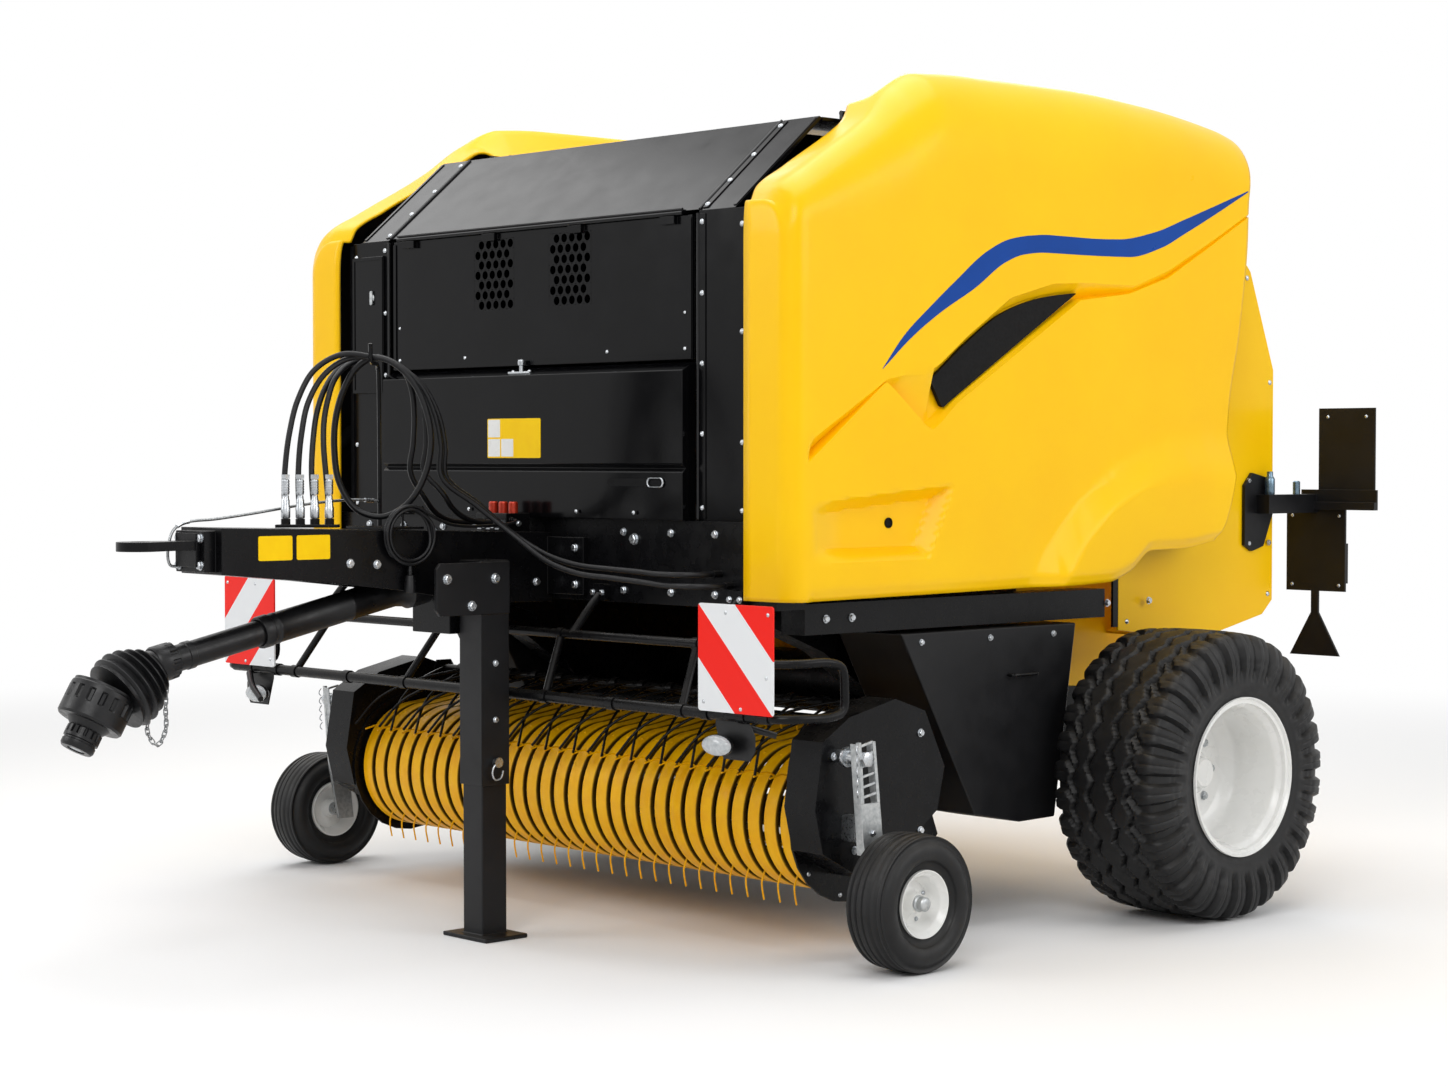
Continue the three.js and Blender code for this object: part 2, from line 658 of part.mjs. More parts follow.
// A point of the outer skin. v runs from the bottom edge (0) to the shoulder (1) and over to the inner edge (2).
function coverPoint(u, v) {
  const station = coverStation(u);
  const lowest = along(coverBottomLine, station.side);
  const lengthAt = (z) => station.y + station.side * (along(coverRearLine, z) - station.y);
  const topZ = along(coverTopLine, lengthAt(2400));
  const roundness = along([[-1508, 110], [-900, 270]], lengthAt(2200));
  const shoulder = topZ - roundness;
  if (v <= 1) {
    const z = lowest + (shoulder - lowest) * v;
    return new THREE.Vector3(station.x, lengthAt(z), z);
  }
  const angle = ((v - 1) * Math.PI) / 2;
  const nearHinge = coverHingeX + coverHingeCollar;
  const innerX = along([[-1500, coverLip - 12], [-1100, 895], [-1010, nearHinge]], lengthAt(2400));
  const inward = Math.max(0, station.x - innerX) * (1 - Math.cos(angle));
  const droop = along([[-1050, 0], [-980, Math.max(0, topZ - coverHingeZ)]], lengthAt(2400));
  const fall = droop * Math.max(0, v - 1.75) / 0.25;
  const z = shoulder + roundness * Math.sin(Math.min(1, (v - 1) / 0.75) * Math.PI / 2) - fall;
  const leanBack = coverTopLean * (v - 1) ** 2 * (1 - station.side);
  return new THREE.Vector3(station.x - inward, lengthAt(Math.min(z, topZ)) + leanBack, z);
}

// A closed shell: the outer grid, the same grid set in by the wall, and a strip round the edge.
function shell(grid, wall) {
  const rows = grid.length;
  const columns = grid[0].length;
  const at = (i, j) => grid[Math.min(rows - 1, Math.max(0, i))][Math.min(columns - 1, Math.max(0, j))];
  const places = [];
  const inner = [];
  for (let i = 0; i < rows; i += 1) {
    for (let j = 0; j < columns; j += 1) {
      const acrossU = at(i + 1, j).clone().sub(at(i - 1, j));
      const acrossV = at(i, j + 1).clone().sub(at(i, j - 1));
      const normal = acrossU.cross(acrossV).normalize();
      places.push(at(i, j));
      inner.push(at(i, j).clone().addScaledVector(normal, -wall));
    }
  }
  const offset = places.length;
  const faces = [];
  const quad = (a, b, c, d) => faces.push(a, b, c, a, c, d);
  for (let i = 0; i + 1 < rows; i += 1) {
    for (let j = 0; j + 1 < columns; j += 1) {
      const a = i * columns + j;
      const b = a + columns;
      quad(a, b, b + 1, a + 1);
      quad(offset + a, offset + a + 1, offset + b + 1, offset + b);
    }
  }
  for (let i = 0; i + 1 < rows; i += 1) {
    const a = i * columns;
    const b = a + columns - 1;
    quad(a, offset + a, offset + a + columns, a + columns);
    quad(b, b + columns, offset + b + columns, offset + b);
  }
  for (let j = 0; j + 1 < columns; j += 1) {
    const b = (rows - 1) * columns + j;
    quad(j, j + 1, offset + j + 1, offset + j);
    quad(b, offset + b, offset + b + 1, b + 1);
  }
  const geometry = new THREE.BufferGeometry().setFromPoints([...places, ...inner]);
  geometry.setIndex(faces);
  return geometry;
}

function sideCover() {
  const stations = [-1, -0.5, 0, 0.5, 1, 1.1, 1.2, 1.3, 1.42, 1.55, 1.68, 1.8, 1.9, 2];
  const heights = [0, 0.2, 0.4, 0.6, 0.8, 1, 1.2, 1.4, 1.6, 1.75, 1.87, 2];
  const grid = stations.map((u) => heights.map((v) => coverPoint(u, v)));
  addPair('side_cover', shell(grid, coverWall), 'yellow');
}

// ---- Guards, boards and shields ----

function guardFrame() {
  const y = -guardForward;
  const low = bar([-1240, y, guardHeight], [1240, y, guardHeight], guardTube, 8);
  const upperY = -1600;
  const upper = bar([-1000, upperY, 860], [1000, upperY, 860], 13, 8);
  const loop = bentTube([
    [1200, y, guardHeight], [1262, y + 4, guardHeight], [1300, y + 60, guardHeight], [1308, y + 150, guardHeight],
    [1308, y + 195, guardHeight + 12], [1308, y + 200, guardHeight + 70], [1308, y + 190, guardHeight + 125],
    [1304, y + 150, guardHeight + 140], [1280, y + 60, guardHeight + 140], [1240, y + 6, guardHeight + 140],
  ], 12, 16, 6);
  const post = bar([1215, y, guardHeight], [1215, y, guardHeight + 146], 10, 6);
  const brace = (x) => bar([x, y, guardHeight], [x - 50, upperY + 2, 862], 11, 6);
  const hanger = (x) => bar([x, upperY - 4, 858], [x, -frontBeamFace - 12, 970], 12, 6);
  const foot = (x) => box(x - 30, x + 30, -frontBeamFace - 22, -frontBeamFace - seatGap, 952, 1000);
  const clamp = (x) => box(x - 20, x + 20, y - guardTube, y + 4, guardHeight - 6, guardHeight + 60);
  const left = [loop, post, clamp(1060), clamp(1180)];
  for (const x of [330, 900]) left.push(brace(x), hanger(x), foot(x));
  add('guard_frame', joined(low, upper, ...left, ...left.map(mirrored)), 'black');
}

function warningBoards() {
  const face = -guardForward - guardTube - seatGap;
  const plate = box(boardOuter - boardSize, boardOuter, face - boardThickness, face, boardTop - boardSize, boardTop);
  addPair('warning_board', plate, 'board');
}

function sideShield() {
  const outline = [[-1013, 869], [-256, 869], [-350, 300], [-506, 298], [-703, 336]];
  addPair('side_shield', prismX(outline, 800, 1050), 'dullBlack');
}

// ---- Driveline ----

const shaftSlope = Math.atan2(shaftRearHeight - shaftJointHeight, shaftJointForward - shaftRearForward);

// A profile of [distance forward, radius] turned about a line that starts at [y, z] and dips by an angle.
function turnedForward(profile, y, z, dip, sides) {
  const points = profile.map(([ahead, radius]) => new THREE.Vector2(radius, ahead));
  const body = new THREE.LatheGeometry(points, sides);
  return body.rotateX(Math.PI + dip).translate(0, y, z);
}

const yokeProfile = [
  [30, 0], [30, 80], [45, 90], [118, 92], [130, 84], [130, 60], [150, 44], [196, 46], [208, 40], [208, 0],
];

function driveShaft() {
  const full = Math.hypot(shaftJointForward - shaftRearForward, shaftRearHeight - shaftJointHeight);
  const step = (shaftStep - shaftRearForward) / Math.cos(shaftSlope);
  const bore = shaftInnerRadius + runningGap;
  const outerTube = [
    [0, 0], [0, 60], [70, 60], [110, shaftOuterRadius], [step, shaftOuterRadius], [step, bore], [105, bore], [105, 0],
  ];
  const neck = full - 130;
  const innerTube = [
    [235, 0], [235, shaftInnerRadius], [neck - 40, shaftInnerRadius], [neck - 38, 46], [neck, 50], [neck + 20, 0],
  ];
  const bell = [
    [0, 0], [0, 46], [22, 58], [42, 84], [62, 98], [110, bellRadius], [150, bellRadius - 4], [150, 0],
  ];
  const bellRear = neck - 18;
  const bellY = -shaftRearForward - bellRear * Math.cos(shaftSlope);
  const bellZ = shaftRearHeight - bellRear * Math.sin(shaftSlope);
  const bellDip = THREE.MathUtils.degToRad(bellDownDegrees);
  const tube = turnedForward(innerTube, -shaftRearForward, shaftRearHeight, shaftSlope, 18);
  const boot = turnedForward(bell, bellY, bellZ, bellDip, 18);
  const wider = yokeProfile.map(([ahead, radius]) => [ahead - (ahead < 31 ? runningGap : 0), radius + runningGap]);
  const socket = [[wider[0][0], 0], ...wider, [wider[wider.length - 1][0], 0]];
  const dip = THREE.MathUtils.degToRad(yokeDownDegrees);
  const room = turnedForward(socket, -shaftJointForward, shaftJointHeight, dip, 18);
  add('shaft_rear_guard', turnedForward(outerTube, -shaftRearForward, shaftRearHeight, shaftSlope, 18), 'dullBlack');
  add('shaft_front_guard', cut(joined(tube, boot), room), 'dullBlack');
  add('shaft_yoke', turnedForward(yokeProfile, -shaftJointForward, shaftJointHeight, dip, 18), 'dullBlack');
}

// ---- Pick-up ----

const deckY = -920;

function pickupFrame() {
  const axis = [-reelForward, reelHeight];
  const tubeY = -865;
  const tubeZ = 290;
  const inner = pickupHalf;
  const outer = pickupHalf + pickupPlate;
  const disc = prismX(arc(...axis, 225, 0, 345, 23), inner, outer);
  const web = prismX([
    [-1060, 200], [tubeY, tubeZ - 45], [tubeY + 45, tubeZ], [-930, 560], [-1012, 688], [-1068, 688], [-1120, 570],
  ], inner, outer);
  const housing = prismX([
    [-1400, 300], [-1430, 420], [-1400, 600], [-1300, 660], [-1120, 700], [-1000, 660], [-920, 500],
    [-950, 380], [-1100, 280], [-1250, 220],
  ], outer - 1, outer + 117);
  const tube = rollerX(-inner - 2, inner + 2, tubeY, tubeZ, 35, 14);
  const armPlate = prismX([
    [-pickupPivotForward - 40, pickupPivotHeight + 30], [-pickupPivotForward + 40, pickupPivotHeight + 30],
    [-pickupPivotForward + 45, pickupPivotHeight - 40], [tubeY + 50, tubeZ - 20], [tubeY - 40, tubeZ - 30],
    [tubeY - 45, tubeZ + 30],
  ], 745, 765);
  const hole = bar(
    [700, -pickupPivotForward, pickupPivotHeight], [800, -pickupPivotForward, pickupPivotHeight],
    holeRadius(pickupPivotPin, pinSides), pinSides,
  );
  const left = [disc, web, housing, cut(armPlate, hole)];
  add('pickup_frame', joined(tube, ...left, ...left.map(mirrored)), 'black');
}

function bandOutline(radius) {
  const [y, z] = [-reelForward, reelHeight];
  return [[deckY - 10, z + radius + 35], ...arc(y, z, radius, 90, 270, 7), [deckY - 10, z - radius + 20]];
}

function pickupBands() {
  const outline = [...bandOutline(bandRadius), ...bandOutline(bandRadius - bandThickness).reverse()];
  const half = (bandPitch - bandGap) / 2;
  const bands = [];
  for (let i = 0; i < bandCount; i += 1) {
    const x = (i - (bandCount - 1) / 2) * bandPitch;
    bands.push(prismX(outline, x - half, x + half));
  }
  const span = pickupHalf - seatGap;
  const top = box(-span, span, deckY - 30, deckY, 580, 602);
  const bottom = box(-span, span, deckY - 30, deckY, 172, 196);
  add('pickup_bands', joined(top, bottom, ...bands), 'bandYellow');
}

function tine(x, degrees) {
  const [rootY, rootZ] = circlePoint(-reelForward, reelHeight, tineBarRadius, degrees);
  const tip = circlePoint(-reelForward, reelHeight, tineTipRadius, degrees + tineTrail);
  const half = tineThickness / 2;
  return prismX([[rootY - half, rootZ - half], tip, [rootY + half, rootZ + half]], x - half, x + half);
}

function pickupReel() {
  const length = pickupHalf - runningGap;
  const shapes = [rollerX(-length, length, -reelForward, reelHeight, 45, 14)];
  for (const x of [-980, -484, 0, 484, 980]) {
    shapes.push(rollerX(x - 4, x + 4, -reelForward, reelHeight, 155, 16));
  }
  for (let k = 0; k < tineBars; k += 1) {
    const degrees = 225 + (360 / tineBars) * k;
    const [y, z] = circlePoint(-reelForward, reelHeight, tineBarRadius, degrees);
    shapes.push(rollerX(-984, 984, y, z, 12, 8));
    for (let i = 0; i + 1 < bandCount; i += 1) {
      shapes.push(tine((i + 0.5 - (bandCount - 1) / 2) * bandPitch, degrees));
    }
  }
  add('pickup_reel', joined(...shapes), 'bandYellow');
}

const windForward = 1040;
const windHeight = 660;
const windRod = 14;
const windFingers = 15;

function windGuard() {
  const span = pickupHalf - runningGap;
  const shapes = [rollerX(-span, span, -windForward, windHeight, windRod, 8)];
  const finger = (x) => bentTube([
    [x, -windForward, windHeight], [x, -1110, 650], [x, -1235, 622], [x, -1360, 555], [x, -1425, 455],
  ], 5, 5, 4);
  for (let i = 0; i < windFingers; i += 1) {
    shapes.push(finger((i - (windFingers - 1) / 2) * bandPitch * 2));
  }
  add('wind_guard', joined(...shapes), 'black');
}

function gaugeArm() {
  const inner = pickupHalf + pickupPlate + 117 + seatGap;
  const plate = prismX([
    [-gaugeWheelForward - 30, gaugeTyreRadius - 25], [-gaugeWheelForward + 30, gaugeTyreRadius - 25],
    [-1275, 340], [-1305, 605], [-1370, 605], [-1350, 340],
  ], 1222, 1232);
  const boss = rollerX(inner, 1224, -1345, 560, 24, 14);
  const foot = box(inner, 1224, -1330, -1290, 330, 400);
  const stub = rollerX(1228, gaugeTrackWidth / 2 - 45 - runningGap, -gaugeWheelForward, gaugeTyreRadius, 22, 14);
  addPair('gauge_arm', joined(plate, boss, foot, stub), 'zinc');
}

// ---- Hoses, cable and rope ----

const hoseDiameter = 16;
const cableDiameter = 9;
const ropeDiameter = 8;
const hookX = -20;
const hookForward = 2030;
const hookTop = 1640;
const hookRod = 6;
const hookPlay = 2.4;
const hangDegrees = 46.95;
const plugHeight = 1192;
const hosePitch = 17.5;

// The hoses hang on the hook in upright planes. u runs along those planes, t from plane to plane.
function hungAt([u, t, z]) {
  const angle = THREE.MathUtils.degToRad(hangDegrees);
  const [c, s] = [Math.cos(angle), Math.sin(angle)];
  return [hookX + c * u - s * t, -hookForward + s * u + c * t, z];
}

// One turn over the hook, down, round and up again, drifting from plane t0 to plane t1.
function hangingTurn(t0, t1) {
  const turn = [
    [40, 0, 1632], [82, 0.06, 1605], [122, 0.12, 1556], [150, 0.2, 1488], [162, 0.3, 1405], [142, 0.4, 1305],
    [92, 0.5, 1228], [22, 0.6, 1194], [-50, 0.7, 1215], [-98, 0.78, 1290], [-112, 0.86, 1385],
    [-108, 0.92, 1468], [-86, 0.97, 1548], [-48, 1, 1612], [0, 1, hookTop],
  ];
  return turn.map(([u, share, z]) => [u, t0 + share * (t1 - t0), z]);
}

const hoseRoutes = [
  [
    ...[
      [-222, -176, plugHeight], [-222, -176, 1212], [-226, -172, 1260], [-224, -164, 1340], [-214, -150, 1430], [-194, -128, 1520],
      [-152, -100, 1602], [-80, -68, 1646], [0, -2.5 * hosePitch, hookTop],
      ...hangingTurn(-2.5 * hosePitch, -0.5 * hosePitch),
      [42, -8, 1632], [86, -6, 1603], [134, -2, 1556], [168, 4, 1480], [184, 12, 1395], [186, 24, 1305],
    ].map(hungAt),
    [118, -1778, 1225], [190, -1702, 1140], [290, -1662, 1068], [400, -1640, 1036], [520, -1618, 1026],
    [640, -1606, 1018], [730, -1602, 1012], [794, -1601, 1012], [830, -1591.5, 1012],
    [856.4, -1565, 1012], [866, -1532, 1012], [866, fittingFace, 1012],
  ],
  [
    ...[
      [-182, -176, plugHeight], [-182, -176, 1212], [-187, -172, 1260], [-188, -164, 1330], [-182, -150, 1420], [-166, -126, 1512],
      [-126, -90, 1590], [-68, -50, 1634], [0, -1.5 * hosePitch, hookTop],
      ...hangingTurn(-1.5 * hosePitch, 0.5 * hosePitch),
      [42, 10, 1632], [88, 12, 1603], [138, 18, 1556], [176, 28, 1480], [194, 38, 1395], [196, 52, 1305],
    ].map(hungAt),
    [100, -1752, 1225], [160, -1682, 1145], [262, -1640, 1085], [372, -1618, 1058], [490, -1604, 1050],
    [600, -1600, 1046], [684, -1602, 1042], [748, -1601, 1042], [784, -1591.5, 1042],
    [810.4, -1565, 1042], [820, -1532, 1042], [820, fittingFace, 1042],
  ],
  [
    ...[
      [-142, -176, plugHeight], [-142, -176, 1212], [-148, -172, 1260], [-152, -164, 1330], [-150, -146, 1410], [-144, -112, 1486],
      [-128, -60, 1554], [-100, -6, 1606], [-56, 36, 1636], [0, 2.5 * hosePitch, hookTop], [42, 45, 1630],
      [80, 46, 1600], [100, 48, 1548], [106, 54, 1480], [102, 62, 1400], [92, 74, 1320],
    ].map(hungAt),
    [-18, -1858, 1245], [-38, -1802, 1200], [-50, -1745, 1178], [-54, -1690, 1172], [-54, -1666, 1172], [-54, blockPortFace, 1172],
  ],
  [
    ...[
      [-102, -176, plugHeight], [-102, -176, 1212], [-107, -172, 1260], [-113, -166, 1320], [-120, -154, 1390], [-122, -134, 1455],
      [-116, -104, 1516], [-104, -58, 1574], [-80, -10, 1613], [-44, 18, 1634], [0, 1.5 * hosePitch, hookTop],
      [44, 27, 1630], [92, 30, 1598], [124, 35, 1545], [138, 42, 1470], [140, 51, 1395], [132, 62, 1322],
    ].map(hungAt),
    [56, -1852, 1262], [42, -1802, 1214], [32, -1748, 1185], [27, -1697, 1173], [26, -1667, 1172], [26, blockPortFace, 1172],
  ],
];

function hoses() {
  hoseRoutes.forEach((route, i) => {
    add(`hydraulic_hose_${i + 1}`, bentTube(route, hoseDiameter / 2, route.length > 30 ? 68 : 28, 8), 'hose');
  });
}

// A plate across the drawbar with the hook that holds the hoses and a peg that holds the cable's coil.
function hoseHook() {
  const foot = box(-110, 94, -2064, -1944, 1159.6, 1166);
  const arm = hookTop - hoseDiameter / 2 - hookRod - hookPlay;
  const rod = bentTube([
    ...[[0, 110, 1163], [0, 110, 1400], [0, 104, 1540], [0, 92, 1606], [0, 68, arm]].map(hungAt),
    ...[[0, 30, arm], [0, -30, arm], [0, -62, arm + 2], [0, -76, arm + 22], [0, -82, arm + 52]].map(hungAt),
  ], hookRod, 26, 8);
  const pegHeight = coilHeight + coilInner - pegRadius - seatGap;
  const upright = bar([84, -coilForward, 1163], [84, -coilForward, pegHeight + 3], pegRadius, 8);
  const peg = bar([81, -coilForward, pegHeight], [coilX + 18, -coilForward, pegHeight], pegRadius, 8);
  add('hose_hook', joined(foot, rod, upright, peg), 'zinc');
}

// The rack that the hoses' couplings are parked in.
function hoseHolder() {
  const [x, y] = hungAt([-162, -176, 0]);
  const plate = box(-86, 86, -22, 22, 1167.4, 1176).rotateZ(THREE.MathUtils.degToRad(hangDegrees)).translate(x, y, 0);
  const sockets = [-222, -182, -142, -102].map((u) => (
    bar(hungAt([u, -176, 1174]), hungAt([u, -176, plugHeight - seatGap]), 13, 10)
  ));
  add('hose_holder', joined(plate, ...sockets), 'zinc');
}

const coilX = 118;
const coilForward = 2010;
const coilHeight = 1144;
const coilInner = 66;
const coilOuter = 86;
const coilHalf = 10;
const pegRadius = 4;

function controlCable() {
  const ring = [
    [-coilHalf, coilInner], [coilHalf, coilInner], [coilHalf, coilOuter], [-coilHalf, coilOuter], [-coilHalf, coilInner],
  ];
  add('control_cable_coil', turnedX(ring, coilX, -coilForward, coilHeight, 20), 'hose');
  const meet = circlePoint(-coilForward, coilHeight, coilOuter + seatGap, 25);
  const near = circlePoint(-coilForward, coilHeight, coilOuter + 10, 25);
  add('control_cable', bentTube([
    [cableStart, -1600, 1178], [74, -1600, 1178], [87, -1610, 1174], [91, -1630, 1170], [92, -1660, 1167],
    [93, -1700, 1165], [94, -1740, 1164], [96, -1780, 1164], [99, -1815, 1166], [103, -1845, 1169],
    [109, -1872, 1174], [115, -1893, 1178], [coilX, ...near], [coilX, ...meet],
  ], cableDiameter / 2, 16, 8), 'hose');
  const plugTop = coilHeight - coilOuter - seatGap;
  const plug = new THREE.LatheGeometry([
    [0, 0], [6, 0], [7, -24], [14, -30], [16, -58], [16, -74], [0, -74],
  ].map(([r, z]) => new THREE.Vector2(r, z)), 12);
  add('control_plug', plug.rotateX(Math.PI / 2).translate(coilX, -coilForward, plugTop), 'dullBlack');
}

function safetyRope() {
  add('safety_rope', bentTube([
    [-100, -1961.6, 1236], [-100, -1985, 1238], [-98, -2040, 1240], [-93, -2110, 1238], [-87, -2180, 1233],
    [-83, -2250, 1226], [-79, -2320, 1217], [-75, -2390, 1208], [-71, -2460, 1200], [-67, -2530, 1193],
    [-64, -2590, 1190], [-62, -2630, 1184], [-61, -2658, 1164], [-60, -2671, 1132], [-60, -2675, 1098],
    [-60, -2671, 1079], [-60, -2664, 1071], [-60, -ropeEndForward, 1070],
  ], ropeDiameter / 2, 38, 8), 'zinc');
}

// ---- Assembly ----

mainWheel();
gaugeWheel();
axle();
chassisFrame();
drawbar();
hitchEye();
gearbox();
jack();
frontChamber();
tailgate();
tailgateCheek();
rearCarrier();
roof();
hood();
frontCorner();
frontPanel();
frontFlap();
controlHatch();
sideCover();
guardFrame();
warningBoards();
sideShield();
driveShaft();
pickupFrame();
pickupBands();
pickupReel();
windGuard();
gaugeArm();
hoseHook();
hoseHolder();
hoses();
controlCable();
safetyRope();

const extent = new THREE.Box3().setFromObject(machine);
machine.position.y = -(extent.min.y + extent.max.y) / 2;

export default machine;
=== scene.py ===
import json
import math

import bmesh
import bpy
import numpy as np
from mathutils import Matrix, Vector


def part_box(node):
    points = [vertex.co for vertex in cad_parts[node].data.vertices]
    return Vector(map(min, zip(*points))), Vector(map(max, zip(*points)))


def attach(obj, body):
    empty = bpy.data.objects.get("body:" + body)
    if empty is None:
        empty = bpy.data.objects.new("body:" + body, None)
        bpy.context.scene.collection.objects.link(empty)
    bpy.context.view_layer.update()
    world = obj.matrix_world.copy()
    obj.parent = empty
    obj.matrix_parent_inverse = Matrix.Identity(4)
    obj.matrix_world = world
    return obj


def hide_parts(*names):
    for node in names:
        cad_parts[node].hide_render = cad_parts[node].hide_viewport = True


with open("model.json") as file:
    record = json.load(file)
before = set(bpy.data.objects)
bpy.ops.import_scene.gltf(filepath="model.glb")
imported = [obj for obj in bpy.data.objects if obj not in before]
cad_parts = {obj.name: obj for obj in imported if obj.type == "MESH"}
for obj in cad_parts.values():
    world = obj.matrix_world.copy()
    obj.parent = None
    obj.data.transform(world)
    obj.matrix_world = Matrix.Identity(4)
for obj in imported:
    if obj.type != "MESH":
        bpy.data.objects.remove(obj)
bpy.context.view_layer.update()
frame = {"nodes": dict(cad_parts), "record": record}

axleLow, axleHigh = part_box("main_tyre_left")
axleY = (axleLow.y + axleHigh.y) / 2
bodyOf = {n: b for b, ns in frame["record"]["behaviour"]["bodies"].items() for n in ns}
print("frame loaded, axle at y =", round(axleY, 4))


# Shapes. Each is (points, faces), in metres from the axle; many shapes make one piece.

# A grid of points over two parameters, with quads between neighbours. A wrapped way joins its ends, and
# flatEnds closes the other way's two ends.
def gridShape(points, wrapRows=False, wrapColumns=False, flatEnds=False):
    rows, columns = points.shape[:2]
    i = np.arange(rows if wrapRows else rows - 1)[:, None]
    j = np.arange(columns if wrapColumns else columns - 1)[None, :]
    down, right = (i + 1) % rows, (j + 1) % columns
    quads = np.stack([i * columns + j, down * columns + j, down * columns + right, i * columns + right], -1)
    ends = []
    if flatEnds:
        index = np.arange(rows * columns).reshape(rows, columns)
        ends = [index[:, 0], index[:, -1][::-1]] if wrapRows else [index[0], index[-1][::-1]]
    return points.reshape(-1, 3), quads.reshape(-1, 4).tolist() + [end.tolist() for end in ends]


# An outline of two coordinates carried along one axis from low to high, with both ends closed.
def prismShape(outline, axis, low, high):
    flat = np.asarray(outline, float)
    n = len(flat)
    ends = [np.insert(flat, axis, value, axis=1) for value in (low, high)]
    sides = [[i, (i + 1) % n, n + (i + 1) % n, n + i] for i in range(n)]
    return np.vstack(ends), sides + [list(range(n))[::-1], list(range(n, 2 * n))]


# The corners of a rectangle, each turned as a quarter circle.
def roundedRectangle(u0, u1, v0, v1, radius, steps=5):
    turn = np.linspace(0, math.pi / 2, steps + 1)
    corners = [(u1, v1, 0), (u0, v1, 1), (u0, v0, 2), (u1, v0, 3)]
    points = []
    for u, v, quarter in corners:
        angle = turn + quarter * math.pi / 2
        centre = np.array([u, v]) + radius * np.array(
            [-1 if quarter in (0, 3) else 1, -1 if quarter in (0, 1) else 1]
        )
        points.append(centre + radius * np.stack([np.cos(angle), np.sin(angle)], -1))
    return np.vstack(points)


# A flat plate: a rounded rectangle carried along one axis.
def slabShape(low, high, axis, corner=0.003, steps=3):
    others = [i for i in range(3) if i != axis]
    outline = roundedRectangle(low[others[0]], high[others[0]], low[others[1]], high[others[1]], corner, steps)
    return prismShape(outline, axis, low[axis], high[axis])


# Directions across a line: each is the last one turned as little as the line's own turn allows.
def acrossFrames(path):
    along = np.gradient(path, axis=0)
    along /= np.linalg.norm(along, axis=1)[:, None]
    first = np.cross(along[0], [0, 0, 1] if abs(along[0][2]) < 0.9 else [1, 0, 0])
    sideways = [first / np.linalg.norm(first)]
    for direction in along[1:]:
        turned = sideways[-1] - direction * (sideways[-1] @ direction)
        sideways.append(turned / np.linalg.norm(turned))
    sideways = np.array(sideways)
    return sideways, np.cross(along, sideways)


# A tube: circles of the given radius round each point of a line, closed by a flat end.
def tubeShape(path, radius, sides=12, spin=0.0):
    path = np.asarray(path, float)
    sideways, upwards = acrossFrames(path)
    angle = np.arange(sides) * 2 * math.pi / sides + spin
    radius = np.broadcast_to(radius, len(path))[:, None, None]
    ring = np.cos(angle)[None, :, None] * sideways[:, None] + np.sin(angle)[None, :, None] * upwards[:, None]
    return gridShape(path[:, None] + radius * ring, wrapColumns=True, flatEnds=True)


# A closed wire: circles round each point of a loop, in the plane of its own away and the common lift.
def linkShape(loop, away, lift, radius, sides):
    angle = np.arange(sides) * 2 * math.pi / sides
    ring = np.cos(angle)[None, :, None] * away[:, None] + np.sin(angle)[None, :, None] * lift
    return gridShape(loop[:, None] + radius * ring, wrapRows=True, wrapColumns=True)


# A straight round bar between two points.
def barShape(start, end, radius, sides=16):
    return tubeShape([start, end], radius, sides)


# A profile of [distance along, radius] turned about an axis. A profile that ends on its axis is closed.
def latheShape(profile, origin, axis, sides=32, spin=0.0):
    axis = np.asarray(axis, float) / np.linalg.norm(axis)
    first = np.cross(axis, [0, 0, 1] if abs(axis[2]) < 0.9 else [1, 0, 0])
    first /= np.linalg.norm(first)
    second = np.cross(axis, first)
    angle = np.arange(sides) * 2 * math.pi / sides + spin
    out = np.cos(angle)[:, None] * first + np.sin(angle)[:, None] * second
    along, radius = np.asarray(profile, float).T
    points = np.asarray(origin, float) + along[:, None, None] * axis + radius[:, None, None] * out[None]
    return gridShape(points, wrapColumns=True)


# A hexagon-headed bolt on its washer, standing on a face with the given outward direction.
def boltShape(centre, outward, size=0.012):
    washer = [(0, 0), (0, size * 1.05), (size * 0.2, size * 1.05), (size * 0.2, 0)]
    head = [
        (size * 0.15, 0), (size * 0.15, size * 0.86), (size * 0.7, size * 0.86), (size * 0.85, size * 0.7),
        (size * 0.85, 0),
    ]
    return joinShapes([latheShape(washer, centre, outward, 16), latheShape(head, centre, outward, 6)])


# A button head: a quarter ellipse turned about the outward direction.
def domeShape(centre, outward, radius, height, sides=14):
    turn = np.linspace(0, math.pi / 2, 5)
    profile = [(0, 0), (0, radius)] + [(height * math.sin(t), radius * math.cos(t)) for t in turn[1:]]
    return latheShape(profile, centre, outward, sides)


# Shapes put in one list of points, each one's faces counted on from the last.
def joinShapes(shapes):
    points, faces, start = [], [], 0
    for place, polygons in shapes:
        points.append(place)
        faces += [[start + k for k in polygon] for polygon in polygons]
        start += len(place)
    return np.vstack(points), faces


# Every point shifted by the same offset.
def moved(shape, offset):
    return shape[0] + np.asarray(offset, float), shape[1]


# Every point's x turned round, with its faces' order too, so that they still point outwards.
def mirrored(shape):
    return shape[0] * [-1, 1, 1], [polygon[::-1] for polygon in shape[1]]


# The shapes are laid out for the left side; the right side has their mirror images.
def onSide(sign, shapes):
    return list(shapes) if sign > 0 else [mirrored(shape) for shape in shapes]


# The shapes and their mirror images together.
def bothSides(shapes):
    return onSide(1, shapes) + onSide(-1, shapes)


# Shapes laid out round the origin, moved to their centre and put on their side.
def putOn(sign, centre, shapes):
    return onSide(sign, [moved(shape, centre) for shape in shapes])


